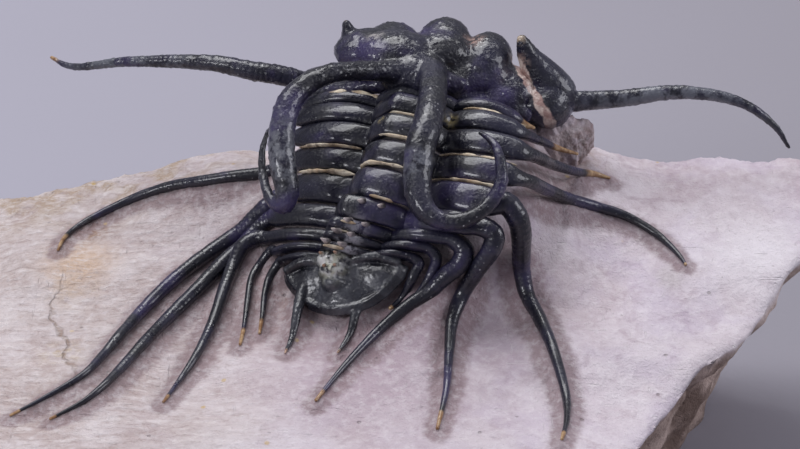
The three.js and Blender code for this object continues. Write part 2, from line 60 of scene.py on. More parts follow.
def softbox(name, place, aim, size, power, colour):
    light = bpy.data.objects.new(name, bpy.data.lights.new(name, "AREA"))
    bpy.context.scene.collection.objects.link(light)
    light.data.shape = "RECTANGLE"
    light.data.size, light.data.size_y = size
    light.data.energy = power
    light.data.color = colour
    light.location = place
    light.rotation_euler = (Vector(aim) - Vector(place)).to_track_quat("-Z", "Y").to_euler()


softbox("key", (-0.10, 0.16, 0.42), (0, 0, 0.03), (0.34, 0.20), 1.5, (0.98, 0.98, 1.0))
softbox("strip", (0.06, 0.22, 0.36), (0, 0, 0.03), (0.40, 0.03), 0.28, (1.0, 1.0, 1.0))
softbox("side_right", (0.40, -0.02, 0.22), (0, 0, 0.03), (0.20, 0.20), 0.8, (0.93, 0.93, 1.0))
softbox("front_left", (-0.30, -0.26, 0.24), (0, 0, 0.03), (0.20, 0.08), 0.8, (0.95, 0.95, 1.0))


class Value:
    """A number or colour that a finish works out; sums and products of it add Math nodes."""

    def __init__(self, finish, socket):
        self.finish = finish
        self.socket = socket

    def __add__(self, other):
        return self.finish.maths("ADD", self, other)

    def __sub__(self, other):
        return self.finish.maths("SUBTRACT", self, other)

    def __mul__(self, other):
        return self.finish.maths("MULTIPLY", self, other)

    def __rsub__(self, other):
        return self.finish.maths("SUBTRACT", other, self)

    __radd__ = __add__
    __rmul__ = __mul__

    def most(self, other):
        return self.finish.maths("MAXIMUM", self, other)


class Finish:
    """A material under construction: node() adds one node and gives back one of its outputs."""

    def __init__(self, name):
        self.material = bpy.data.materials.new(name)
        self.material.use_nodes = True
        self.tree = self.material.node_tree
        self.tree.nodes.clear()
        self.place = self.node("TexCoord", out="Object")

    def node(self, kind, settings=None, out=0, **inputs):
        made = self.tree.nodes.new("ShaderNode" + kind)
        for key, value in (settings or {}).items():
            setattr(made, key, value)
        for key, value in inputs.items():
            socket = made.inputs[int(key[2:])] if key.startswith("in") else made.inputs[key.replace("_", " ")]
            if isinstance(value, Value):
                self.tree.links.new(value.socket, socket)
            elif socket.type == "RGBA" and len(value) == 3:
                socket.default_value = (*value, 1)
            else:
                socket.default_value = value
        return Value(self, made.outputs[out])

    def maths(self, operation, *values):
        return self.node("Math", {"operation": operation}, **{f"in{i}": v for i, v in enumerate(values)})

    def moved(self, scale=(1, 1, 1), turn=(0, 0, 0), by=(0, 0, 0)):
        return self.node("Mapping", Vector=self.place, Scale=scale, Rotation=turn, Location=by)

    def cloud(self, size_mm, detail=4, rough=0.55, warp=0.0, place=None):
        return self.node("TexNoise", Vector=place or self.place, Scale=1000 / size_mm, Detail=detail,
                         Roughness=rough, Distortion=warp)

    def cells(self, size_mm, feature="F1", place=None, out="Distance"):
        return self.node("TexVoronoi", {"feature": feature}, out, Vector=place or self.place,
                         Scale=1000 / size_mm)

    def step(self, value, low, high):
        return self.node("MapRange", {"interpolation_type": "SMOOTHSTEP"}, Value=value,
                         From_Min=low, From_Max=high)

    def mix(self, share, a, b):
        return self.node("Mix", {"data_type": "RGBA"}, out=2, in0=share, in6=a, in7=b)

    def near(self, spot_mm, reach_mm):
        """1 at a spot on the object, falling to 0 at reach_mm from it."""
        spot = [c / 1000 for c in spot_mm]
        away = self.node("VectorMath", {"operation": "DISTANCE"}, 1, in0=self.place, in1=spot)
        return self.step(away, reach_mm / 1000, 0.0)

    def surface(self, colour, roughness, height, height_mm, coat=0.0, coat_roughness=0.1, specular=0.5):
        bump = self.node("Bump", Height=height, Strength=1.0, Distance=height_mm / 1000)
        shader = self.node("BsdfPrincipled", out=0, Base_Color=colour, Roughness=roughness, Normal=bump,
                           Coat_Weight=coat, Coat_Roughness=coat_roughness, Specular_IOR_Level=specular)
        output = self.tree.nodes.new("ShaderNodeOutputMaterial")
        self.tree.links.new(shader.socket, output.inputs["Surface"])
        return self.material


def finished(name, bm, material, node=None, slot=None, smooth=True):
    """Makes the object of a mesh that was shaped in millimetres, and hands it to the frame."""
    bm.transform(Matrix.Scale(0.001, 4))
    bmesh.ops.recalc_face_normals(bm, faces=bm.faces)
    mesh = bpy.data.meshes.new(name)
    bm.to_mesh(mesh)
    bm.free()
    mesh.polygons.foreach_set("use_smooth", [smooth] * len(mesh.polygons))
    mesh.materials.append(material)
    piece = bpy.data.objects.new(name, mesh)
    bpy.context.scene.collection.objects.link(piece)
    if slot:
        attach(piece, "root")
    if node:
        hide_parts(node)
    return piece


bm = bmesh.new()
bmesh.ops.create_grid(bm, x_segments=2, y_segments=2, size=3000)
table = Finish("table")
# Painted shade: the table top is coloured darker towards the right, with a faint cloud in it.
shade_to_right = table.step(table.node("SeparateXYZ", in0=table.place, out="X"), -0.10, 0.11)
table_tone_with_shade = table.mix(shade_to_right + table.cloud(90, 2) * 0.3 - 0.15,
                       (0.335, 0.325, 0.385), (0.245, 0.232, 0.262))
finished("floor", bm, table.surface(table_tone_with_shade, 0.85, table.cloud(3, 2), 0.05), smooth=False)

# The matrix: a block of pale, faintly lilac limestone. Its top was scraped and air-blasted into a
# smooth apron that rises as a mound under the animal; its sides are raw brown breaks and it was
# sawn flat below to stand.
BODY = [
    (-7.3, -9.6, 22.7, 5, 34, 14),
    (-5.8, -5.6, 25.6, 8, 35, 14),
    (-3.8, -2.8, 27.9, 14, 38, 15),
    (-1.8, -0.7, 30.2, 19, 42, 15.5),
    (-0.2, 1.8, 32.6, 20, 42, 13),
    (1.0, 5.3, 35.4, 18, 34, 9),
    (2.2, 12.0, 37.0, 14, 10, 3),
    (4.6, 21.5, 36.0, 12, -5, 2),
]
GROUND = [
    (-42, -32, 18.0), (-52, -12, 19.0), (-54, 8, 19.5), (-48, 19, 20.3), (-40, 18, 20.8),
    (-34, 18, 23.0), (-28, 17, 25.6), (-18, 14, 28.6), (-12, 22, 25.0), (0, 27, 25.0),
    (13, 22, 28.0), (20, 16, 31.0), (25, 18, 26.6), (31, 17, 26.6), (36, 16, 27.2), (44, 14, 28.2),
    (45, 6, 26.0), (44, -1, 23.5), (36, -12, 20.2), (27, -26, 17.0), (10, -38, 16.5),
    (-15, -40, 17.0), (-32, -10, 19.5), (-24, 4, 21.5), (-10, -15, 20.0), (5, -15, 20.0),
    (20, -8, 21.0), (30, 2, 23.5), (24, 9, 26.0), (-34, 10, 21.5), (-20, -24, 18.5), (0, -28, 18.0),
    (16, -24, 18.0),
]
HOVER = 0.42  # of a spine's underside over the scraped rock, before its ridge is raised


def smooth(v):
    t = np.clip(v, 0, 1)
    return t * t * (3 - 2 * t)


def blend(a, b, t):
    return a + (b - a) * t


def along(place, first):
    """The body line (first = 0) or its yaw, pitch and roll (first = 3) at a place along it."""
    rows = np.array([row[first:first + 3] for row in BODY], float)
    rows = np.vstack([2 * rows[0] - rows[1], rows, 2 * rows[-1] - rows[-2]])
    i = min(int(place), len(BODY) - 2)
    f = place - i
    before, start, end, after = rows[i:i + 4]
    a = (end - before) / 2
    b = (after - start) / 2
    return ((2 * f**3 - 3 * f**2 + 1) * start + (f**3 - 2 * f**2 + f) * a
            + (3 * f**2 - 2 * f**3) * end + (f**3 - f**2) * b)


def body_frame(place):
    """Point on the body line, and the body's right, forward and up there."""
    yaw, pitch, roll = np.radians(along(place, 3))
    turn = Matrix.Rotation(-yaw, 3, "Z") @ Matrix.Rotation(pitch, 3, "X") @ Matrix.Rotation(-roll, 3, "Y")
    return along(place, 0), *(np.array(turn.col[k]) for k in range(3))


def rock_top(x, y):
    total = np.zeros_like(x)
    weight = np.zeros_like(x)
    for a, b, z in GROUND:
        k = np.exp(-((x - a) ** 2 + (y - b) ** 2) / 50) + 1e-6
        total += k * z
        weight += k
    ground = total / weight + 0.25 * np.sin(0.31 * x + 0.2 * y) * np.sin(0.27 * y - 0.11 * x + 1)
    total = np.zeros_like(x)
    weight = np.zeros_like(x)
    beyond = np.zeros_like(x)
    for i in range(29):
        at = along(i / 4, 0)
        yaw, pitch, roll = np.radians(along(i / 4, 3))
        side = (x - at[0]) * math.cos(yaw) - (y - at[1]) * math.sin(yaw)
        ahead = (x - at[0]) * math.sin(yaw) + (y - at[1]) * math.cos(yaw)
        if i == 0:
            beyond = np.maximum(beyond, -ahead)
        k = np.exp(-((ahead / 1.3) ** 2)) + 1e-12 / (1 + ahead**2)
        out = np.abs(side) - 10
        fall = 9 * smooth(out / 8) + 1.2 * np.maximum(0, out - 8)
        total += k * (at[2] - 2 / math.cos(pitch) - 0.35 + math.sin(roll) * side - fall)
        weight += k
    beyond = np.maximum(beyond, ahead)
    mound = total / weight - 0.12 * beyond**2
    high = np.maximum(ground, mound)
    return high + np.log(np.exp(ground - high) + np.exp(mound - high))


def spline(points, places):
    """Smooth line through points; a place counts points. Gives positions and directions."""
    points = np.array(points, float)
    points = np.vstack([2 * points[0] - points[1], points, 2 * points[-1] - points[-2]])
    places = np.asarray(places, float)
    i = np.minimum(places.astype(int), len(points) - 4)
    f = (places - i)[:, None]
    p = [points[i + k] for k in range(4)]
    gap = [np.maximum(np.linalg.norm(p[k + 1] - p[k], axis=1), 1e-4)[:, None] ** 0.5 for k in range(3)]
    a = gap[1] * ((p[1] - p[0]) / gap[0] - (p[2] - p[0]) / (gap[0] + gap[1]) + (p[2] - p[1]) / gap[1])
    b = gap[1] * ((p[2] - p[1]) / gap[1] - (p[3] - p[1]) / (gap[1] + gap[2]) + (p[3] - p[2]) / gap[2])
    c2 = -3 * p[1] + 3 * p[2] - 2 * a - b
    c3 = 2 * p[1] - 2 * p[2] + a + b
    at = p[1] + a * f + c2 * f**2 + c3 * f**3
    going = a + 2 * c2 * f + 3 * c3 * f**2
    return at, going / np.linalg.norm(going, axis=1)[:, None]


def even_places(points, spacing):
    """Places spaced evenly along the smooth line through points."""
    fine = np.linspace(0, len(points) - 1, 40 * len(points))
    at, going = spline(points, fine)
    run = np.concatenate([[0], np.cumsum(np.linalg.norm(np.diff(at, axis=0), axis=1))])
    count = max(6, int(run[-1] / spacing))
    return np.interp(np.linspace(0, run[-1], count + 1), run, fine), run[-1]


def taper(root, share):
    return blend(root, 0.14, share**1.7)


def spine_points(rows, radius):
    """Points of a side spine from its root out: it lies on the rock where no height is given."""
    points = []
    for i, row in enumerate(rows):
        x, y = np.array(row[:1], float), np.array(row[1:2], float)
        rest = float(rock_top(x, y)[0]) + taper(radius, (i + 1) / len(rows)) + HOVER
        points.append([row[0], row[1], row[2] if len(row) == 3 else rest])
    return points


# The segments and their side spines, as the sizes that both the shell and its bed in the rock
# follow. bend: where the planks end, left and right; ring: half width, height, lean to the left and
# sharpness; worn: share of each spine that is worn brown; stout: how much thicker it grew.
SEGMENTS = [
    dict(start=5.72, end=6.0, bend=(13.4, 11.4), droop=1.2, ring=(4.1, 2.3, 0.2, 0.7),
         spine=0.55, worn=(0.0, 1.0), stout=(1, 1),
         left=[(-11.1, 15.6, 35.1), (-12.4, 15.8, 34.4)],
         right=[(13.6, 8.4, 36.0), (14.9, 9.0, 35.2)]),
    dict(start=5.3, end=5.72, bend=(14.4, 12.3), droop=1.2, ring=(4.1, 2.9, 0.2, 0.6),
         spine=0.62, worn=(0.0, 0.55), stout=(1, 1),
         left=[(-12.6, 14.0, 33.7), (-13.9, 14.0, 32.9)],
         right=[(14.4, 6.2, 35.5), (15.8, 7.8, 34.1), (17.6, 9.8, 32.3), (19.9, 11.4, 30.8)]),
    dict(start=4.74, end=5.3, bend=(14.4, 13.6), droop=1.2, ring=(4.1, 3.2, 0.2, 0.4),
         spine=0.75, worn=(0.0, 0.45), stout=(1, 1),
         left=[(-12.8, 12.2, 32.2), (-14.3, 12.2, 31.2)],
         right=[(15.0, 2.8, 34.7), (16.7, 5.6, 32.5), (19.3, 8.2, 30.3), (21.9, 11.0), (23.6, 11.3)]),
    dict(start=4.0, end=4.74, bend=(14.4, 13.8), droop=1.1, ring=(4.0, 3.3, 0.2, 0.2),
         spine=0.75, worn=(0.16, 0.04), stout=(1, 1),
         left=[(-13.3, 10.6, 29.7), (-15.2, 11.0, 28.7), (-18.8, 11.3), (-21.5, 11.8), (-25.6, 13.0),
               (-28.6, 13.4), (-31.5, 13.0), (-34.2, 11.7), (-36.2, 9.7), (-37.5, 7.2), (-38.0, 4.8)],
         right=[(14.1, -1.4, 33.9), (15.6, 1.2, 31.8), (18.2, 4.0, 29.2), (21.7, 5.7), (24.9, 5.3),
                (27.9, 3.5), (29.5, 1.6), (30.6, -0.3), (31.2, -1.7)]),
    dict(start=3.0, end=4.0, bend=(13.2, 13.2), droop=0.7, ring=(3.9, 3.4, 0.4, 0.2),
         spine=1.05, worn=(0.03, 0.05), stout=(1, 1.2),
         left=[(-13.3, 6.7, 27.8), (-15.0, 5.9, 26.8), (-17.0, 4.9), (-18.6, 4.2), (-21.1, 2.3),
               (-24.7, -2.3), (-27.4, -5.7), (-29.8, -11.3), (-31.3, -14.8), (-33.1, -18.9),
               (-36.2, -21.4), (-40.4, -24.1)],
         right=[(11.3, -5.7, 33.5), (12.4, -6.0, 32.2), (12.9, -6.0, 30.4), (13.0, -5.7, 28.2),
                (13.1, -5.3), (13.6, -6.5), (14.9, -9.8), (16.1, -14.6), (17.3, -20.7), (17.2, -25.0),
                (16.5, -28.8)]),
    dict(start=2.2, end=3.0, bend=(14.0, 13.0), droop=0.6, ring=(3.6, 3.9, 0.7, 0.5),
         spine=0.95, worn=(0.03, 0.08), stout=(1, 1.2),
         left=[(-15.5, 4.5, 25.3), (-17.2, 2.8), (-19.2, 0.7), (-21.8, -3.7), (-24.5, -7.2),
               (-26.9, -12.2), (-29.3, -17.5), (-31.2, -21.4), (-32.8, -23.1), (-36.2, -25.0)],
         right=[(10.0, -7.8, 30.9), (9.7, -8.2, 29.4), (8.4, -8.2, 27.2), (6.6, -8.3), (5.6, -10.8),
                (5.2, -14.9), (4.8, -21.2), (3.8, -27.0)]),
    dict(start=1.74, end=2.2, bend=(12.6, 10.8), droop=0.6, ring=(3.3, 3.9, 0.7, 0.7),
         spine=0.95, worn=(0.05, 0.05), stout=(1, 1.2),
         left=[(-15.6, 2.4, 25.0), (-17.1, 1.7, 24.5), (-18.2, -0.2), (-19.0, -3.8), (-20.1, -8.8),
               (-21.6, -14.5), (-22.9, -17.6), (-24.6, -22.5)],
         right=[(6.8, -7.4, 28.8), (6.4, -8.0, 27.6), (4.9, -8.6, 26.4), (3.2, -9.0), (0.9, -9.9),
                (-2.0, -12.2), (-5.6, -17.4), (-8.8, -23.1)]),
    dict(start=1.42, end=1.74, bend=(10.2, 8.8), droop=0.6, ring=(2.9, 3.7, 0.7, 0.7),
         spine=0.5, worn=(0.2, 0.0), stout=(1.1, 1.45),
         left=[(-14.0, 0.0, 24.8), (-15.4, -0.6), (-16.1, -2.2), (-16.5, -6.0), (-16.7, -9.3),
               (-17.0, -13.1)],
         right=[(3.9, -7.0, 27.6), (3.5, -7.9, 26.6), (2.6, -8.7, 25.3), (1.4, -9.6, 24.2)]),
    dict(start=1.15, end=1.42, bend=(8.6, 7.2), droop=0.6, ring=(2.5, 3.3, 0.6, 0.7),
         spine=0.5, worn=(0.2, 0.1), stout=(1.1, 1.4),
         left=[(-12.9, -1.9, 24.6), (-14.1, -2.6), (-14.6, -4.6), (-14.8, -7.4), (-15.0, -11.0)],
         right=[(2.0, -7.0, 27.0), (1.4, -8.1, 26.0), (0.2, -8.6), (-1.2, -9.4)]),
]
TAIL_SPINES = [
    [(-10.0, -5.9, 23.9), (-10.6, -6.8, 23.2), (-11.0, -9.4, 22.3), (-11.5, -12.0), (-12.2, -15.2)],
    [(-3.9, -7.7, 25.1), (-4.2, -8.6, 24.1), (-4.8, -10.6, 22.6), (-5.3, -12.0), (-6.7, -14.9)],
]
beds = [(spine_points(s[side], s["spine"]), s["spine"]) for s in SEGMENTS for side in ("left", "right")]
beds += [(spine_points(rows, 0.58), 0.58) for rows in TAIL_SPINES]


BED_STEP = 0.3
NOTCH_PITCH = 1.15


def spine_beds(x, y, z):
    """Raises the rock to meet each spine that lies on it, as a narrow ridge notched by the
    preparator's pen. Gives the new heights and how deep the painted shade round each spine is there."""
    worked, halo = z.copy(), np.zeros(len(z))
    for points, radius in beds:
        places, length = even_places(points, BED_STEP)
        at, going = spline(points, places)
        for k, (px, py, pz) in enumerate(at):
            near = np.nonzero((np.abs(x - px) < 2.6) & (np.abs(y - py) < 2.6))[0]
            if not len(near):
                continue
            r = taper(radius, k / (len(at) - 1))
            comb = 1 + 0.30 * math.sin(k * BED_STEP * 2 * math.pi / NOTCH_PITCH)
            d = np.hypot(x[near] - px, y[near] - py)
            gap = pz - 0.7 * r - z[near]
            close = np.exp(-((d / ((0.35 + r) * comb)) ** 2))
            lift = np.clip(gap, 0, 1.5) * smooth((2.8 - gap) / 1.2) * close
            worked[near] = np.maximum(worked[near], z[near] + lift)
            # Painted shade: the rock darkens round a spine that lies close over it, its width notched with the
            # pen marks.
            shade_here = smooth((3.4 - gap) / 1.2) * np.exp(-((d / ((0.75 + r) * (2 * comb - 1))) ** 2))
            halo[near] = np.maximum(halo[near], shade_here)
    return worked, halo


def edge_curve(values, v):
    points = [(x, k, 0) for k, x in enumerate(values)]
    return spline(points, v * (len(values) - 1))[0][:, 0]


UNDERCUT = 9  # of the right side under the top, in millimetres


def rock_point(a, b, depth):
    """Place on the block: a, b from -1 to 1 across and along it, depth 0 on top to 1 below."""
    u, v = (a + 1) / 2, (b + 1) / 2
    left = edge_curve([-50, -55, -53, -50], v)
    right = edge_curve([17, 20.8, 24.4, 27.4, 31.4, 37, 40.2, 44.4, 46.6, 46.8, 46], v)
    x = blend(left, right, u)
    front = -37.5 - 1.6 * np.sin(2.6 * u + 0.4) + 0.9 * np.sin(11 * u)
    back = 21 + 4.0 * np.sin(np.pi * u) ** 4 - 3.2 * smooth((u - 0.66) / 0.12) + 0.4 * np.sin(17 * u)
    y = blend(front, back, v)
    top = rock_top(x, y)
    bulge = 2.4 * np.sin(np.pi * np.minimum(1, depth * 1.1)) - 3.0 * depth
    ragged = 0.7 * np.sin(0.55 * x + 0.4 * y + 5 * depth) + 0.4 * np.sin(1.3 * x - 0.9 * y)
    out = np.where(depth > 0, bulge + ragged * smooth(depth * 8), 0)
    x = x - UNDERCUT * smooth(2.2 * depth) * smooth(2 * u - 1) * (0.8 + 0.2 * smooth(3 * v))
    x = x + np.sign(a) * smooth((np.abs(a) - 0.9) / 0.1) * out
    y = y + np.sign(b) * smooth((np.abs(b) - 0.9) / 0.1) * out
    return x, y, top


ACROSS, ALONG, DOWN = ((300, 176, 22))
bm = bmesh.new()
depth_layer = bm.verts.layers.float.new("raw")
bmesh.ops.create_grid(bm, x_segments=ACROSS, y_segments=ALONG, size=1)
rim = [e for e in bm.edges if e.is_boundary]
for k in range(DOWN):
    grown = bmesh.ops.extrude_edge_only(bm, edges=rim)["geom"]
    rim = [e for e in grown if isinstance(e, bmesh.types.BMEdge) and e.is_boundary]
    for v in grown:
        if isinstance(v, bmesh.types.BMVert):
            v[depth_layer] = (k + 1) / DOWN
bmesh.ops.contextual_create(bm, geom=rim)
grid = np.array([v.co for v in bm.verts])
depth = np.array([v[depth_layer] for v in bm.verts])
x, y, top = rock_point(grid[:, 0], grid[:, 1], depth)
on_top = depth == 0
halo = np.zeros(len(top))
top[on_top], halo[on_top] = spine_beds(x[on_top], y[on_top], top[on_top])
halo_layer = bm.verts.layers.float.new("halo")
rim_gap = np.minimum((1 - np.abs(grid[:, 0])) * 50, (1 - np.abs(grid[:, 1])) * 30)
for k, v in enumerate(bm.verts):
    v[halo_layer] = halo[k]
    spot = Vector((x[k], y[k], top[k]))
    if on_top[k]:
        fine = 0.10 * noise.fractal(spot * 0.5, 0.8, 2.1, 5) + 0.05 * noise.fractal(spot * 2.3, 0.7, 2.2, 3)
        rough_back = (smooth((y[k] - 8) / 10) * smooth((-12 - x[k]) / 10)
                      + smooth((y[k] - 12) / 5) * smooth((x[k] - 14) / 6))
        fine += 0.45 * rough_back * noise.fractal(spot * 0.35, 0.7, 2.2, 5)
        chip = (0.75 + 0.5 * noise.noise(spot * 0.45)) * math.exp(-rim_gap[k] / 0.8)
        z = top[k] + fine - max(0.0, chip)
    else:
        spot.z = top[k] * (1 - depth[k])
        facets = noise.voronoi(spot * 0.16)[0]
        push = 1.5 * (facets[1] - facets[0] - 0.35) + 0.9 * noise.fractal(spot * 0.3, 0.75, 2.1, 6)
        push *= min(1.0, 4 * depth[k]) * (1 - smooth((depth[k] - 0.9) / 0.1))
        x[k] += push * grid[k, 0] ** 5
        y[k] += push * grid[k, 1] ** 5
        z = spot.z + (0.5 * noise.noise(spot * 0.6) if depth[k] < 1 else 0)
    v.co = (x[k], y[k], max(0.0, z))

limestone = Finish("limestone")
raw = limestone.node("Attribute", {"attribute_name": "raw"}, "Fac")
grain = limestone.cloud(0.9, 6, 0.7)
mottle = limestone.cloud(7, 6, 0.6, 0.4)
broad = limestone.cloud(34, 3, 0.5)
across = limestone.node("SeparateXYZ", in0=limestone.place, out="X")
ahead = limestone.node("SeparateXYZ", in0=limestone.place, out="Y")
tone = limestone.mix(limestone.step(mottle, 0.34, 0.66), (0.44, 0.36, 0.395), (0.60, 0.535, 0.575))
tone = limestone.mix(limestone.step(broad, 0.40, 0.64) * 0.65, tone, (0.63, 0.575, 0.61))
smudge = limestone.step(limestone.cloud(2.6, 5, 0.6, 0.8), 0.50, 0.68)
tone = limestone.mix(smudge * 0.55, tone, (0.37, 0.285, 0.325))
lilac = limestone.step(limestone.cloud(12, 4, 0.6, 0.5, limestone.moved(by=(0.03, 0.01, 0))), 0.46, 0.64)
tone = limestone.mix(lilac * 0.45, tone, (0.46, 0.39, 0.49))
warm = limestone.step(across * -1.0 + broad * 0.03, 0.006, 0.052)
tone = limestone.mix(warm * 0.75, tone, limestone.mix(limestone.step(limestone.cloud(5), 0.35, 0.65),
                                                    (0.43, 0.345, 0.31), (0.585, 0.52, 0.505)))
ochre = limestone.step(ahead, 0.008, 0.019) * limestone.step(across, -0.010, -0.028)
tone = limestone.mix(ochre * limestone.step(limestone.cloud(3.5, 5), 0.40, 0.58) * 0.8, tone,
                     (0.37, 0.27, 0.185))
# Stains on the rock, with painted shade and painted light among them: each a spot, reach, cloud size, low and
# high, strength and colour.
stains_and_painted_shading = [
    ((19, 14.5, 30), 7.5, 1.6, 0.35, 0.60, 0.85, (0.33, 0.235, 0.20)),
    ((20.5, 13.0, 31.5), 3.0, 0.8, 0.40, 0.62, 0.90, (0.11, 0.07, 0.055)),
    ((14, 4, 30), 7.0, 2.4, 0.36, 0.62, 0.60, (0.47, 0.34, 0.335)),
    ((-12, -7, 22), 8.5, 3.0, 0.35, 0.62, 0.85, (0.30, 0.185, 0.165)),
    ((27, -5, 23), 8.0, 4.0, 0.36, 0.68, 0.45, (0.40, 0.31, 0.325)),
    ((10, -12, 21), 12.0, 6.0, 0.45, 0.60, 0.35, (0.50, 0.37, 0.41)),
    ((29.3, -3.2, 24), 3.4, 2.2, 0.30, 0.55, 0.55, (0.30, 0.275, 0.23)),
    ((32.4, -2.2, 24), 1.8, 1.0, 0.30, 0.60, 0.60, (0.28, 0.20, 0.185)),
    ((-36.0, -1.0, 21.5), 5.2, 4.0, 0.38, 0.50, 0.65, (0.50, 0.375, 0.27)),
    # Painted shade: darker over the front middle, between the tail spines, right of the mound and on the right
    # front.
    ((1, -15, 21), 20.0, 5.0, 0.15, 0.55, 1.00, (0.39, 0.31, 0.35)),
    ((-7, -18, 21), 12.0, 4.0, 0.20, 0.58, 0.80, (0.43, 0.345, 0.39)),
    ((-9.5, -12, 21), 5.5, 2.0, 0.20, 0.60, 0.75, (0.33, 0.235, 0.255)),
    ((15, -5, 21), 10.0, 4.0, 0.22, 0.60, 0.70, (0.46, 0.375, 0.39)),
    ((20, -22, 21), 13.0, 5.0, 0.22, 0.60, 0.55, (0.49, 0.41, 0.455)),
    # Painted light: lighter at the front edge and on the right side.
    ((-14, -37, 20), 16.0, 6.0, 0.15, 0.50, 0.80, (0.69, 0.645, 0.67)),
    ((6, -38, 20), 13.0, 6.0, 0.15, 0.50, 0.80, (0.69, 0.645, 0.67)),
    ((40, 2, 21), 15.0, 6.0, 0.15, 0.55, 0.80, (0.68, 0.645, 0.68)),
    ((13, -25, 21), 3.0, 0.9, 0.44, 0.58, 0.70, (0.31, 0.29, 0.33)),
    ((-35.5, 3.5, 21.5), 6.5, 4.0, 0.25, 0.40, 1.00, (0.56, 0.405, 0.30)),
    ((-35.0, 9.5, 22), 3.6, 1.0, 0.35, 0.58, 0.95, (0.27, 0.15, 0.08)),
    ((-26.6, 24, 21.5), 2.6, 1.2, 0.35, 0.55, 0.90, (0.56, 0.42, 0.17)),
    ((-21.5, 11, 22), 1.8, 0.9, 0.35, 0.55, 0.90, (0.62, 0.45, 0.16)),
    ((-36.0, -13, 20.5), 4.0, 1.4, 0.42, 0.60, 0.80, (0.44, 0.33, 0.19)),
]
for spot, reach, size, low, high, strength, colour in stains_and_painted_shading:
    tone_patch = limestone.near(spot, reach) * limestone.step(limestone.cloud(size, 4), low, high)
    tone = limestone.mix(tone_patch * strength, tone, colour)
scratches = limestone.cloud(0.55, 2, 0.5, 0.0, limestone.moved((0.09, 1, 1), (0, 0, 0.5)))
more_scratches = limestone.cloud(0.5, 2, 0.5, 0.0, limestone.moved((1, 0.08, 1), (0, 0, -0.35)))
lines = limestone.step(scratches, 0.66, 0.76).most(limestone.step(more_scratches, 0.68, 0.78))
tone = limestone.mix(lines * limestone.step(broad, 0.4, 0.6) * 0.45, tone, (0.72, 0.68, 0.69))
wander = (limestone.cloud(9, 4) - 0.5) * 0.008
crack_line = limestone.maths("ABSOLUTE", across * 0.985 + ahead * 0.174 + wander + 0.0369)
crack = limestone.step(crack_line, 0.0003, 0.0) * limestone.near((-36, -10, 20), 18)
tone = limestone.mix(crack * 0.9, tone, (0.30, 0.22, 0.18))
left_rough = limestone.step(across * -1.0 + broad * 0.02, 0.012, 0.034)
chisel = limestone.cloud(0.75, 4, 0.72, 0.7, limestone.moved((0.30, 1, 1), (0, 0, 0.55)))
tone = limestone.mix(left_rough * limestone.step(chisel, 0.50, 0.66) * 0.55, tone, (0.68, 0.62, 0.61))
tone = limestone.mix(left_rough * limestone.step(chisel, 0.47, 0.33) * 0.55, tone, (0.33, 0.255, 0.235))
dark_grains = limestone.step(limestone.cloud(0.45, 4, 0.7), 0.58, 0.74)
tone = limestone.mix(dark_grains * 0.60, tone, (0.30, 0.235, 0.26))
# Painted shade: the rock is coloured darker round each spine that lies close to it.
halo = limestone.node("Attribute", {"attribute_name": "halo"}, "Fac")
shaded = limestone.step(halo + limestone.cloud(0.7, 4) * 0.5, 0.42, 0.85)
tone = limestone.mix(shaded * 0.75, tone, (0.235, 0.165, 0.175))
flecks = limestone.step(limestone.cells(3.7), 0.075, 0.04)
tone = limestone.mix(flecks * 0.6, tone, (0.20, 0.165, 0.165))
ochre_flecks = limestone.step(limestone.cells(5.3, place=limestone.moved(by=(0.01, 0.02, 0))), 0.07, 0.03)
tone = limestone.mix(ochre_flecks * 0.7, tone, (0.50, 0.35, 0.14))
tone = limestone.mix(limestone.step(grain, 0.42, 0.72) * 0.38, tone, (0.73, 0.69, 0.71))
break_tone = limestone.mix(limestone.step(limestone.cloud(6, 6, 0.65), 0.32, 0.66),
                           (0.18, 0.125, 0.105), (0.54, 0.42, 0.375))
side_share = limestone.step(raw + limestone.cloud(2.5, 4) * 0.08, 0.045, 0.13)
tone = limestone.mix(side_share, tone, break_tone)
relief = grain * 0.6 + limestone.cloud(3.0, 5, 0.6) * 0.9 + limestone.cloud(0.28, 3) * 0.3
relief = relief + chisel * left_rough * 0.8 - lines * 0.2 - crack * 0.6 - flecks * 0.3
rock_finish = limestone.surface(tone, limestone.step(mottle, 0.2, 0.8) * 0.12 + 0.78, relief, 0.42,
                                specular=0.25)
finished("rock", bm, rock_finish, "matrix", "limestone")


def add_lump(bm, frame_at, spot, radii):
    """A ball stretched along the given directions and set at a place in them."""
    at, right, forward, up = frame_at
    centre = at + right * spot[0] + forward * spot[1] + up * spot[2]
    basis = Matrix([right, forward, up]).transposed().to_4x4()
    shape = Matrix.Translation(Vector(centre)) @ basis @ Matrix.Diagonal((*radii, 1))
    bmesh.ops.create_icosphere(bm, subdivisions=4, radius=1, matrix=shape)


def fused(bm, voxel, rounds):
    """Grows overlapping forms into one skin and relaxes it."""
    mesh = bpy.data.meshes.new("forms")
    bm.to_mesh(mesh)
    bm.free()
    block = bpy.data.objects.new("forms", mesh)
    bpy.context.scene.collection.objects.link(block)
    remesh = block.modifiers.new("remesh", "REMESH")
    remesh.mode = "VOXEL"
    remesh.voxel_size = voxel
    skin = bpy.data.meshes.new_from_object(block.evaluated_get(bpy.context.evaluated_depsgraph_get()))
    bpy.data.objects.remove(block)
    bm = bmesh.new()
    bm.from_mesh(skin)
    bpy.data.meshes.remove(skin)
    for k in range(rounds):
        bmesh.ops.smooth_vert(bm, verts=bm.verts, factor=0.5,
                              use_axis_x=True, use_axis_y=True, use_axis_z=True)
    return bm


def displaced(bm, amount):
    """Moves each point along its normal by amount(point) millimetres."""
    bm.normal_update()
    moves = [v.normal * amount(v.co) for v in bm.verts]
    for v, move in zip(bm.verts, moves):
        v.co += move


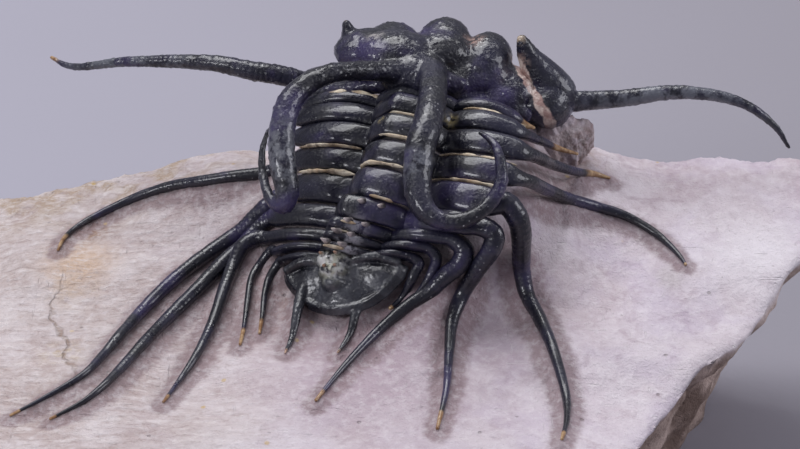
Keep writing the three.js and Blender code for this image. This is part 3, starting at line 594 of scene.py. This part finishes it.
# A rough pillar of the same rock, left standing to carry the right cheek and its long spine.
LEVEL = (np.zeros(3), np.array((1.0, 0, 0)), np.array((0, 1.0, 0)), np.array((0, 0, 1.0)))
bm = bmesh.new()
for spot, radii in (((18.6, 14.2, 30.6), (2.5, 2.2, 3.6)), ((16.8, 13.6, 30.4), (2.0, 2.0, 3.6)),
                    ((20.6, 14.4, 31.4), (1.2, 1.2, 2.2))):
    add_lump(bm, LEVEL, spot, radii)
bm = fused(bm, 0.16, 3)
displaced(bm, lambda p: 0.35 * noise.fractal(Vector((p.x * 0.9, p.y * 0.9, p.z * 0.3)), 0.8, 2.1, 5)
          + 0.12 * noise.fractal(p * 1.9, 0.8, 2.1, 3))
bm.verts.layers.float.new("raw")
finished("pillar", bm, rock_finish, slot="limestone")

# The shell of the thorax: nine overlapping segments of glossy black calcite, each a high ring over
# the body's middle, a ridged plank to either side and a round, finely ringed spine out of each end.
OVERHEAD = (0, -0.45, 0.9)
PLANK_THICK = 0.62
JOINT_GAP = 0.13
RING_PITCH = 0.62
LOBE_TOP = [(1.0, -0.15), (0.94, 0.26), (0.78, 0.60), (0.52, 0.86), (0.20, 1.02), (-0.14, 1.08), (-0.46, 1.0),
            (-0.74, 0.76), (-0.92, 0.44), (-1.0, 0.05)]


def section(turn):
    """Outline of a lobe for turn 0 to 1: over the top from its front edge to its rear, then below."""
    s, h = np.array(LOBE_TOP).T
    marks = np.linspace(0, 0.62, len(s))
    marks = np.append(marks, [0.68, 0.96, 1.0])
    s = np.append(s, [-0.9, 0.9, 1.0])
    h = np.append(h, [-1.0, -1.0, -0.15])
    return np.interp(turn, marks, s), np.interp(turn, marks, h)


def rod(bm, at, side, up, half, thick, lobe, around, layer=None, tips=None):
    """A closed tube: a flat grid rolled round the stations, its ends drawn to points."""
    steps = len(at) - 1
    made = bmesh.ops.create_grid(bm, x_segments=steps, y_segments=around, size=0.5)["verts"]
    flat = np.array([v.co for v in made])
    i = np.rint((flat[:, 0] + 0.5) * steps).astype(int)
    turn = (flat[:, 1] + 0.5) % 1.0
    across, height = np.cos(2 * np.pi * turn), np.sin(2 * np.pi * turn)
    s, h = section(turn)
    w = lobe[i]
    across, height = blend(across, s, w), blend(height, h, w)
    place = at[i] + side[i] * (across * half[i])[:, None] + up[i] * (height * thick[i])[:, None]
    for v, p, k in zip(made, place, i):
        v.co = p
        if layer:
            v[layer] = tips[k]
    bmesh.ops.remove_doubles(bm, verts=made, dist=1e-4)


def unit(rows):
    return rows / np.linalg.norm(rows, axis=1)[:, None]


def lobe_height(v, segment):
    """Height of a segment's middle line over the body line; a sharp ring has its crest to the left."""
    half, height, lean, sharp = segment["ring"]
    u = v / half
    crest = 1 - np.abs(u + 0.3) / np.where(u < -0.3, 0.7, 1.3)
    arch = height * blend(np.sqrt(np.maximum(0, 1 - u * u)), 0.12 + 0.88 * crest, sharp)
    p = (np.abs(v) - half) / (np.where(v < 0, segment["bend"][0], segment["bend"][1]) - half)
    flank = 0.9 * np.sin(np.pi * np.clip(p, 0, 1)) - segment["droop"] * p * p
    return 0.2 + np.where(np.abs(u) < 1, arch, flank)


def segment_line(segment):
    """Points of a segment's middle line from its left tip to its right tip, and the body's forward."""
    at, right, forward, up = body_frame((segment["start"] + segment["end"]) / 2)
    half, height, lean, sharp = segment["ring"]
    side = np.concatenate([np.linspace(-0.95, -0.45, 7) * segment["bend"][0],
                           -half * np.cos(np.linspace(0.0, np.pi, 23)),
                           np.linspace(0.45, 0.95, 7) * segment["bend"][1]])
    side[7], side[29] = -1.06 * half, 1.06 * half
    tilt = lean * np.sqrt(np.maximum(0, 1 - (side / half) ** 2))
    body = at + np.outer(side - tilt, right) + np.outer(lobe_height(side, segment), up)
    left = spine_points(segment["left"], segment["spine"])[::-1]
    out = spine_points(segment["right"], segment["spine"])
    return np.vstack([left, body, out]), len(left), len(left) + len(body) - 1, forward


def add_segment(bm, segment, number, layer):
    points, first, last_body, forward = segment_line(segment)
    last = len(points) - 1
    front = along(segment["end"], 0)
    length = np.linalg.norm(front - along(segment["start"], 0))
    places, run = even_places(points, 0.13)
    at, going = spline(points, places)
    s = np.linspace(0, run, len(at))
    away = np.maximum(first - places, places - last_body)
    away = np.where(away < 0, away * 0.5, away)
    reach = np.where(places < first, first, last - last_body)
    lobe = 1 - smooth((away + 0.6) / 1.6)
    share = np.maximum(0, away) / reach
    radius = taper(segment["spine"], share)
    low = rock_top(at[:, 0], at[:, 1]) + radius + 0.2
    at[:, 2] = np.where(away > 1, np.maximum(at[:, 2], low), at[:, 2])
    on_left = places < first
    radius = radius * np.where(on_left, segment["stout"][0], segment["stout"][1])
    rings = 1 + 0.018 * np.sin(2 * np.pi * s / RING_PITCH) * smooth(np.maximum(0, away) * 2) * (1 - share)
    wobble = np.array([noise.noise(Vector(p) * 0.7 + Vector((number * 9, 0, 0))) for p in at])
    radius = radius * rings * (1 + 0.06 * wobble)
    flat = unit(np.cross(OVERHEAD, going))
    side = unit(blend(flat, forward, lobe[:, None]))
    up = unit(np.cross(going, side))
    side = unit(np.cross(up, going))
    half = blend(radius, length / 2 - JOINT_GAP, lobe)
    thick = blend(radius, PLANK_THICK, lobe)
    half[[0, -1]] = thick[[0, -1]] = 0
    worn = np.where(on_left, segment["worn"][0], segment["worn"][1])
    tips = smooth((share - 1 + worn) / np.maximum(0.5 * worn, 0.01))
    rod(bm, at, side, up, half, thick, lobe, 30, layer, tips)


def add_cone(bm, foot, direction, radius, height, layer):
    """A spike: a cone with a rounded point, its upper half marked as worn."""
    turn = Vector((0, 0, 1)).rotation_difference(Vector(direction)).to_matrix().to_4x4()
    along_it = Vector(direction).normalized()
    middle = Matrix.Translation(Vector(foot) + along_it * height / 2)
    made = bmesh.ops.create_cone(bm, cap_ends=True, segments=12, radius1=radius, radius2=radius * 0.16,
                                 depth=height, matrix=middle @ turn)["verts"]
    for v in made:
        v[layer] = 1.0 if (v.co - Vector(foot)).dot(along_it) > height / 2 else 0.0


def shell_finish(name, violet_sheen=1.0, grit=1.0, patches=(), suture=None):
    """Black calcite shell: glossy, finely granular, with worn brown tips, stained patches and patches of painted
    sheen, a painted violet sheen, dust with a painted grey sheen and painted glints.
    """
    shell = Finish(name)
    tip = shell.node("Attribute", {"attribute_name": "tip"}, "Fac")
    broad = shell.cloud(4.5, 3, 0.5, 0.3)
    tone = shell.mix(shell.step(broad, 0.4, 0.68), (0.0055, 0.0055, 0.011), (0.015, 0.0145, 0.031))
    # Painted sheen: violet patches in the black.
    tone = shell.mix(shell.step(shell.cloud(6, 3), 0.50, 0.72) * 0.6 * violet_sheen, tone, (0.045, 0.034, 0.105))
    # Fine grey dust, partly a painted grey sheen; it also makes the surface rougher.
    dust_and_sheen = shell.step(shell.cloud(0.7, 5, 0.75), 0.54, 0.80)
    tone = shell.mix(dust_and_sheen * 0.22 * grit, tone, (0.11, 0.11, 0.14))
    # Painted glints: pale dots on the granules.
    painted_glints = shell.step(shell.cells(0.75), 0.15, 0.07) * shell.step(shell.cloud(4, 2), 0.48, 0.62)
    tone = shell.mix(painted_glints * 0.75 * grit, tone, (0.42, 0.42, 0.44))
    for spot, reach, colour, size in patches:
        patch = shell.near(spot, reach) * shell.step(shell.cloud(size, 5, 0.65), 0.40, 0.56)
        tone = shell.mix(patch, tone, colour)
    if suture:
        across, offset, spot, reach = suture
        wander = (shell.cloud(1.6, 4) - 0.5) * 0.0014
        away = shell.node("VectorMath", {"operation": "DOT_PRODUCT"}, 1, in0=shell.place, in1=across)
        away = away - offset / 1000
        band = shell.step(shell.maths("ABSOLUTE", away + wander), 0.00062, 0.00040)
        fill = shell.mix(shell.step(shell.cloud(1.1, 4), 0.4, 0.6), (0.30, 0.19, 0.17), (0.58, 0.47, 0.42))
        tone = shell.mix(band * shell.step(shell.near(spot, reach), 0.0, 0.2), tone, fill)
    horn_brown = shell.mix(shell.step(shell.cloud(0.8, 4), 0.35, 0.65),
                           (0.20, 0.095, 0.035), (0.42, 0.28, 0.15))
    tone = shell.mix(shell.step(tip + shell.cloud(1.2, 3) * 0.3, 0.70, 1.10), tone, horn_brown)
    granules = shell.cells(0.30, "SMOOTH_F1")
    grains = shell.cloud(0.22, 3, 0.65)
    swell = shell.cloud(1.3, 4, 0.55)
    relief = granules * (-0.60 * grit) + grains * (0.55 * grit) + swell * 0.75
    rough = shell.step(shell.cloud(1.8, 4), 0.3, 0.75) * 0.22 + 0.24 + dust_and_sheen * 0.15 + tip * 0.2
    return shell.surface(tone, rough, relief, 0.11, coat=0.45, coat_roughness=0.09, specular=0.34)


# Painted highlights: light grey patches along the middle ridge of the hind segments. The two yellow patches are
# calcite.
ridge_highlight_spots = [body_frame(place)[0] + body_frame(place)[3] * 2.4 for place in (1.2, 1.6, 2.05)]
thorax_finish = shell_finish("black_shell", 1.0, 0.8, [
    *((tuple(spot), 2.3, (0.40, 0.39, 0.43), 0.7) for spot in ridge_highlight_spots),
    ((-2.4, 4.9, 38.6), 0.9, (0.45, 0.36, 0.14), 0.6), ((5.6, 6.2, 37.4), 1.3, (0.42, 0.34, 0.16), 0.6),
])
for number, segment in enumerate(SEGMENTS, 1):
    bm = bmesh.new()
    tip_layer = bm.verts.layers.float.new("tip")
    add_segment(bm, segment, number, tip_layer)
    finished(f"thorax_shell_{number}", bm, thorax_finish, f"thorax_segment_{number}", "shell")

# Pairs of short upright spikes on the middle rings of the hind segments, each with a worn pale point.
SPIKES = [
    (2.78, 0.7, 1.1, 6), (2.78, 2.5, 1.0, 6), (2.06, 0.5, 1.5, 7), (2.06, 2.0, 1.2, 7),
    (1.66, 0.0, 1.9, 8), (1.66, 1.2, 1.2, 8), (1.32, -0.7, 1.9, 9), (1.32, 0.8, 1.7, 9),
]
bm = bmesh.new()
tip_layer = bm.verts.layers.float.new("tip")
for place, v, height, number in SPIKES:
    at, right, forward, up = body_frame(place)
    segment = SEGMENTS[number - 1]
    level = float(lobe_height(np.array(v), segment)) + 0.45
    foot = at + right * (v - segment["ring"][2]) + up * level
    add_cone(bm, foot, up * 0.75 - forward * 0.2, 0.42, height, tip_layer)
worn = Finish("worn_shell")
worn_tone = worn.mix(worn.step(worn.cloud(1.1, 4), 0.38, 0.62), (0.035, 0.033, 0.045), (0.50, 0.45, 0.46))
worn_tip = worn.node("Attribute", {"attribute_name": "tip"}, "Fac")
worn_tone = worn.mix(worn_tip * 0.7, worn_tone, (0.62, 0.53, 0.50))
worn_finish = worn.surface(worn_tone, worn.cloud(0.8, 3) * 0.2 + 0.2, worn.cloud(0.4, 4), 0.12, coat=0.4)
finished("ring_spikes", bm, worn_finish, slot="shell")

# The seams: cream and tan calcite that fills the joints between the segments, left by the
# preparator flush with the shell as thin pale lines.
calcite = Finish("seam_calcite")
seam_tone = calcite.mix(calcite.step(calcite.cloud(2.2, 4), 0.35, 0.65),
                        (0.40, 0.29, 0.18), (0.72, 0.64, 0.50))
seam_tone = calcite.mix(calcite.step(calcite.cloud(1.0, 5), 0.50, 0.7) * 0.8, seam_tone, (0.10, 0.075, 0.06))
seam_finish = calcite.surface(seam_tone, 0.55, calcite.cloud(0.4, 4), 0.2)
# Each seam: place along the body, start and end across it, width, height over the body, segment.
SEAMS = [
    (5.88, -12.4, -2.4, 0.50, 0.34, 1), (5.68, 5.6, 12.4, 0.34, 0.30, 1), (5.32, -1.8, 1.6, 0.26, 0.34, 1),
    (4.76, -1.8, 2.4, 0.26, 0.32, 3), (4.66, -13.2, -5.0, 0.20, 0.28, 3), (4.64, 4.4, 13.2, 0.26, 0.30, 3),
    (4.05, -3.9, 2.8, 0.24, 0.30, 5), (3.95, -12.8, -4.2, 0.38, 0.34, 5), (3.99, 4.2, 12.8, 0.22, 0.30, 5),
    (3.04, 0.8, 3.6, 0.24, 0.32, 6), (2.20, 9.0, 12.2, 0.20, 0.28, 7), (1.98, -0.3, 1.2, 0.2, 0.60, 7),
    (1.70, -0.8, 0.9, 0.2, 0.60, 8), (1.20, -1.0, 1.0, 0.2, 0.60, 9), (2.98, -13.2, -10.5, 0.26, 0.3, 6),
]
bm = bmesh.new()
for place, start, end, wide, lift, number in SEAMS:
    segment = SEGMENTS[number - 1]
    at, right, forward, up = body_frame(place)
    half, height, lean, sharp = segment["ring"]
    v = np.linspace(start, end, int(abs(end - start) / 0.1))
    tilt = lean * np.sqrt(np.maximum(0, 1 - (v / half) ** 2))
    line = at + np.outer(v - tilt, right) + np.outer(lobe_height(v, segment) + lift, up)
    going = unit(np.gradient(line, axis=0))
    side = unit(blend(np.cross(up, going), forward, 0.999))
    over = unit(np.cross(going, side))
    reach = np.array([0.75 + 0.9 * noise.noise(Vector(p) * 0.9 + Vector((0, 0, number * 5))) for p in line])
    reach = np.clip(reach, 0.12, 1.4) * np.sqrt(np.sin(np.pi * np.linspace(0, 1, len(v))).clip(0, 1))
    reach[[0, -1]] = 0
    rod(bm, line, side, over, wide * reach, 0.42 * np.sqrt(reach), np.zeros(len(line)), 10)
finished("seam_fill", bm, seam_finish, slot="limestone")


# The tail shield: one plate with a ringed middle ridge under a painted silvery highlight, low ribs,
# a scalloped edge and two spines.
def add_spine(bm, points, radius_at, spacing, around=20, ring_depth=0.04, ring_pitch=0.6):
    places, run = even_places(points, spacing)
    at, going = spline(points, places)
    side = unit(np.cross(OVERHEAD, going))
    up = unit(np.cross(going, side))
    t = np.linspace(0, 1, len(at))
    radius = radius_at(t, places) * (1 + ring_depth * np.sin(2 * np.pi * run * t / ring_pitch))
    radius[[0, -1]] = 0
    rod(bm, at, side, up, radius, radius, np.zeros(len(at)), around)


bm = bmesh.new()
made = bmesh.ops.create_uvsphere(bm, u_segments=96, v_segments=40, radius=1)["verts"]
at, right, forward, up = body_frame(0.62)
for v in made:
    reach = math.hypot(v.co.x, v.co.y)
    angle = math.atan2(v.co.x, -v.co.y)
    scallop = 1 + 0.07 * math.cos(3 * angle) * smooth(1.9 - abs(angle))
    px = v.co.x * scallop * 7.2 + 0.3
    py = v.co.y * scallop * (5.1 if v.co.y < 0 else 1.3) + 1.6
    pz = v.co.z * 0.75 - 0.9 * reach**2 * min(1, abs(v.co.x) + 0.3) + 0.3
    if v.co.z > 0:
        raised_rim = 0.38 * math.exp(-((reach - 0.90) / 0.05) ** 2)
        furrow = 0.22 * math.cos(5 * angle) * smooth((reach - 0.3) / 0.3) * smooth((0.95 - reach) / 0.2)
        pz += raised_rim + furrow
    v.co = Vector(at + right * px + forward * py + up * pz)
tail_frame = (at, right, forward, up)
for spot, radii in (((-0.5, 2.0, 1.2), (2.0, 1.0, 1.9)), ((-0.45, 0.8, 1.0), (1.7, 1.0, 1.7)),
                    ((-0.4, -0.4, 0.8), (1.4, 1.0, 1.2))):
    add_lump(bm, tail_frame, spot, radii)
for spots in (((-2.0, 2.3, 1.1), (-4.4, 2.4, 0.9), (-6.6, 1.7, 0.1)),
              ((1.4, 2.4, 1.1), (4.4, 2.5, 0.9), (6.8, 1.9, 0.1))):
    rib = [at + right * a + forward * b + up * c for a, b, c in spots]
    add_spine(bm, rib, lambda t, k: 0.62 - 0.12 * t, 0.2)
for rows in TAIL_SPINES:
    add_spine(bm, spine_points(rows, 0.58), lambda t, k: taper(0.66, t), 0.15)
bm = fused(bm, 0.12, 6)
displaced(bm, lambda p: 0.04 * noise.fractal(p * 1.4, 0.8, 2.1, 4))
tip_layer = bm.verts.layers.float.new("tip")
for v in bm.verts:
    v[tip_layer] = float(smooth((-13.4 - v.co.y) / 2.0))
for spot, size in (((-1.2, 2.2, 2.7), 1.5), ((0.4, 2.2, 2.7), 1.4),
                   ((-1.0, 1.0, 2.3), 0.9), ((0.2, 1.0, 2.3), 0.9)):
    foot = at + right * spot[0] + forward * spot[1] + up * spot[2]
    add_cone(bm, foot, up - forward * 0.3, 0.36, size, tip_layer)
tail_shell = Finish("tail_shell")
tail_tip = tail_shell.node("Attribute", {"attribute_name": "tip"}, "Fac")
tail_tone = tail_shell.mix(tail_shell.step(tail_shell.cloud(2.6, 4), 0.35, 0.7),
                           (0.009, 0.009, 0.014), (0.052, 0.054, 0.066))
# Painted highlight: a silvery patch on the middle ridge.
silver_highlight = tail_shell.near((-7.6, -7.2, 27.3), 3.0)
silver_highlight = silver_highlight * tail_shell.step(tail_shell.cloud(0.9, 5), 0.36, 0.54) * 1.2
tail_tone = tail_shell.mix(silver_highlight, tail_tone, tail_shell.mix(
    tail_shell.step(tail_shell.cloud(1.3), 0.4, 0.6), (0.42, 0.42, 0.33), (0.68, 0.68, 0.66)))
tail_tone = tail_shell.mix(tail_shell.step(tail_tip + tail_shell.cloud(1.2, 3) * 0.3, 0.5, 0.95), tail_tone,
                           (0.36, 0.22, 0.15))
tail_relief = tail_shell.cloud(0.35, 4, 0.6) * 0.5 + tail_shell.cloud(1.5, 3) * 0.9
tail_finish = tail_shell.surface(tail_tone, tail_shell.step(tail_shell.cloud(2, 3), 0.3, 0.7) * 0.16 + 0.18,
                                 tail_relief, 0.16, coat=0.35)
finished("tail_plate", bm, tail_finish, "pygidium", "shell")

# The middle of the head: a granular central lobe between two smooth side lobes, the neck ring
# behind them, and the two long horns that grow from it and curl over the back.
# The horns and borders are rods, each row a point on the middle line and the radius there.
HORNS = [
    [(1.9, 13.4, 40.0, 1.5), (0.4, 12.0, 40.7, 1.35), (-1.5, 11.0, 41.2, 1.2), (-4.2, 9.6, 41.9, 1.1),
     (-7.3, 7.8, 42.5, 1.1), (-10.2, 6.0, 41.9, 1.25), (-11.85, 4.2, 40.8, 1.4), (-12.6, 2.2, 39.1, 1.45),
     (-12.75, 0.4, 37.2, 1.46), (-12.5, -1.2, 35.3, 1.46), (-12.1, -2.5, 33.4, 1.35),
     (-12.3, -3.1, 32.2, 1.12), (-13.1, -2.9, 31.8, 0.82), (-14.1, -1.6, 32.3, 0.62),
     (-14.8, 0.8, 33.5, 0.54), (-15.0, 2.6, 34.9, 0.46), (-14.6, 4.2, 36.5, 0.36), (-13.6, 5.6, 37.8, 0.22)],
    [(3.2, 12.8, 40.8, 1.5), (3.6, 9.6, 40.8, 1.55), (3.5, 4.8, 40.7, 1.6), (2.8, 0.0, 39.6, 1.66),
     (2.1, -2.4, 38.3, 1.66), (1.9, -4.4, 36.5, 1.58), (1.9, -6.2, 35.1, 1.48), (2.6, -7.8, 33.9, 1.28),
     (4.2, -8.8, 33.2, 1.02), (6.1, -9.2, 33.2, 0.92), (8.1, -8.8, 33.9, 0.87), (9.8, -7.8, 35.1, 0.82),
     (10.7, -6.6, 36.6, 0.75), (10.6, -4.8, 38.3, 0.64), (9.9, -3.0, 39.4, 0.48), (8.3, -1.0, 39.8, 0.28)],
]
HEAD_LUMPS = [
    ((-0.4, 5.8, 0.8), (9.6, 5.2, 2.6)),
    ((-4.5, 5.6, 2.7), (3.5, 4.3, 2.7)),
    ((-7.4, 5.4, 2.2), (2.8, 3.8, 2.5)),
    ((1.2, 7.6, 2.8), (3.0, 3.6, 2.6)),
    ((6.1, 6.9, 1.4), (2.9, 3.9, 2.7)),
    ((-0.8, 3.1, 3.4), (3.3, 2.2, 1.8)),
    ((-0.2, 1.4, 1.5), (5.4, 1.5, 2.2)),
    ((8.6, 4.9, -1.1), (3.6, 3.6, 2.3)),
    ((0.0, 8.2, 0.2), (8.6, 4.6, 1.8)),
]
HEAD_BORDERS = [
    [(0.0, 13.6, 38.4, 1.1), (-3.1, 14.3, 37.8, 0.9), (-7.3, 15.9, 36.7, 0.8), (-10.6, 17.2, 35.6, 0.7)],
    [(-5.0, 18.4, 39.4, 1.6), (-5.3, 18.5, 41.0, 1.35), (-5.7, 18.6, 42.4, 0.9), (-6.2, 18.8, 43.9, 0.4)],
    [(3.6, 13.0, 37.8, 1.3), (7.8, 12.6, 36.7, 1.3), (11.6, 12.0, 36.2, 1.25), (14.6, 11.6, 35.2, 0.9)],
]
NECK_SWELLINGS = [
    ((1.4, 12.6, 40.0), (3.8, 2.6, 2.4)), ((3.2, 11.8, 40.0), (2.2, 2.8, 2.3)),
    ((-0.6, 15.4, 41.4), (4.4, 3.4, 2.4)), ((4.6, 16.6, 41.0), (3.4, 3.2, 2.4)),
    ((-3.2, 17.2, 40.8), (4.2, 3.4, 2.4)),
    ((9.8, 15.0, 38.6), (2.8, 2.6, 2.2)), ((11.6, 13.8, 37.0), (2.6, 2.2, 1.8)),
]


def along_radius(rows):
    """Radius of a rod at places along it, from the last number of each of its rows."""
    return lambda t, places: np.interp(places, np.arange(len(rows)), [row[3] for row in rows])


def warts(p, spacing, height):
    """Low round tubercles, one to each cell."""
    gap = noise.voronoi(p / spacing)[0][0]
    return height * float(smooth(1 - gap / 0.42))


bm = bmesh.new()
head_frame = body_frame(6.0)
for spot, radii in HEAD_LUMPS:
    add_lump(bm, head_frame, spot, radii)
for spot, radii in NECK_SWELLINGS:
    add_lump(bm, LEVEL, spot, radii)
for rows in HORNS + HEAD_BORDERS:
    add_spine(bm, [row[:3] for row in rows], along_radius(rows), 0.16, 28, 0.0)
bm = fused(bm, 0.16, 14)
displaced(bm, lambda p: 0.05 * noise.fractal(p * 1.1, 0.8, 2.1, 4) + warts(p, 0.9, 0.09))
tip_layer = bm.verts.layers.float.new("tip")
for v in bm.verts:
    v[tip_layer] = 0.75 * float(smooth(1 - (v.co - Vector((-6.2, 18.8, 43.9))).length / 1.2))
# The plane of the right suture, its offset, and the middle and reach of the pink filling on it.
FACIAL_SUTURE = ((0.875, 0.174, 0.451), 32.22, (14.8, 14.2, 37.3), 5.6)
head_finish = shell_finish("head_shell", 1.3, 1.2, [
    # Patches: painted grey sheen on the left horn's curl and on the right horn, a painted highlight on the left
    # lobe, and pink, tan and beige stains.
    ((-12.4, -0.8, 37.0), 6.0, (0.13, 0.135, 0.155), 1.0), ((1.9, -4.4, 37.5), 3.0, (0.11, 0.115, 0.14), 1.0),
    ((8.3, 17.0, 42.0), 1.8, (0.40, 0.26, 0.22), 0.9), ((-2.8, 15.6, 43.4), 1.6, (0.33, 0.31, 0.30), 0.7),
    ((10.6, 14.4, 38.6), 2.0, (0.42, 0.30, 0.25), 0.7), ((8.2, 13.6, 38.0), 1.2, (0.42, 0.33, 0.27), 0.6),
    ((13.4, 13.4, 37.4), 1.2, (0.50, 0.40, 0.30), 0.5),
], FACIAL_SUTURE)
finished("head_middle", bm, head_finish, "cranidium", "shell")

# The free cheeks: the outer plates of the head, each with a stalked eye, a swollen cheek and a long
# genal spine, parted from the middle along the facial suture.
CHEEKS = [
    ("left", [((-12.6, 3.6, -2.1), (3.4, 4.0, 2.3))],
     [[(-9.7, 18.2, 35.9, 1.15), (-12.3, 16.8, 37.7, 1.15), (-16.5, 16.4, 38.7, 1.1),
       (-20.7, 17.5, 39.1, 0.95), (-30.6, 21.0, 37.7, 0.6), (-37.7, 24.0, 35.7, 0.4), (-40.2, 26.0, 36.0, 0.2)]]),
    ("right", [((13.4, 6.2, -3.0), (2.7, 4.0, 2.9)), ((12.0, 5.4, -2.6), (2.6, 3.2, 2.3))],
     [[(15.4, 14.4, 36.2, 1.3), (17.9, 15.0, 35.6, 1.25), (24.6, 15.5, 35.7, 1.0), (31.3, 15.5, 36.5, 0.8),
       (38.0, 15.0, 35.5, 0.6), (41.9, 14.7, 32.8, 0.42), (43.9, 14.5, 29.9, 0.2)],
      [(17.6, 14.9, 34.6, 1.6), (17.3, 15.1, 36.6, 2.5), (15.7, 15.4, 38.8, 2.05), (14.4, 15.5, 40.8, 1.35),
       (13.7, 15.5, 42.4, 0.85), (13.35, 15.5, 43.5, 0.4)]]),
]
cheek_finish = shell_finish("cheek_shell", 1.0, 1.0, [
    # Patches: painted grey sheen along both genal spines, and beige and pink stains at the eye's tip and down the
    # suture.
    ((30, 15.5, 36.5), 17.0, (0.11, 0.115, 0.14), 2.0), ((-31, 20, 38), 17.0, (0.09, 0.095, 0.115), 2.0),
    ((13.2, 15.2, 43.2), 1.0, (0.50, 0.40, 0.30), 0.5), ((13.2, 14.4, 40.6), 1.6, (0.40, 0.28, 0.24), 0.6),
    ((13.6, 14.0, 38.4), 1.4, (0.46, 0.36, 0.29), 0.6), ((14.6, 13.0, 36.4), 1.2, (0.50, 0.42, 0.32), 0.5),
], FACIAL_SUTURE)
for name, lumps, rods in CHEEKS:
    bm = bmesh.new()
    for spot, radii in lumps:
        add_lump(bm, head_frame, spot, radii)
    for number, rows in enumerate(rods):
        add_spine(bm, [row[:3] for row in rows], along_radius(rows), 0.12, 20, 0.0 if number else 0.04)
    bm = fused(bm, 0.14, 4)
    displaced(bm, lambda p: 0.05 * noise.fractal(p * 1.2, 0.8, 2.1, 4) + warts(p, 0.9, 0.07))
    tip_layer = bm.verts.layers.float.new("tip")
    end_point = Vector(rods[0][-1][:3])
    for v in bm.verts:
        v[tip_layer] = float(smooth(1 - (v.co - end_point).length / 4)) if name == "left" else 0.0
    finished(f"cheek_{name}", bm, cheek_finish, f"free_cheek_{name}", "shell")
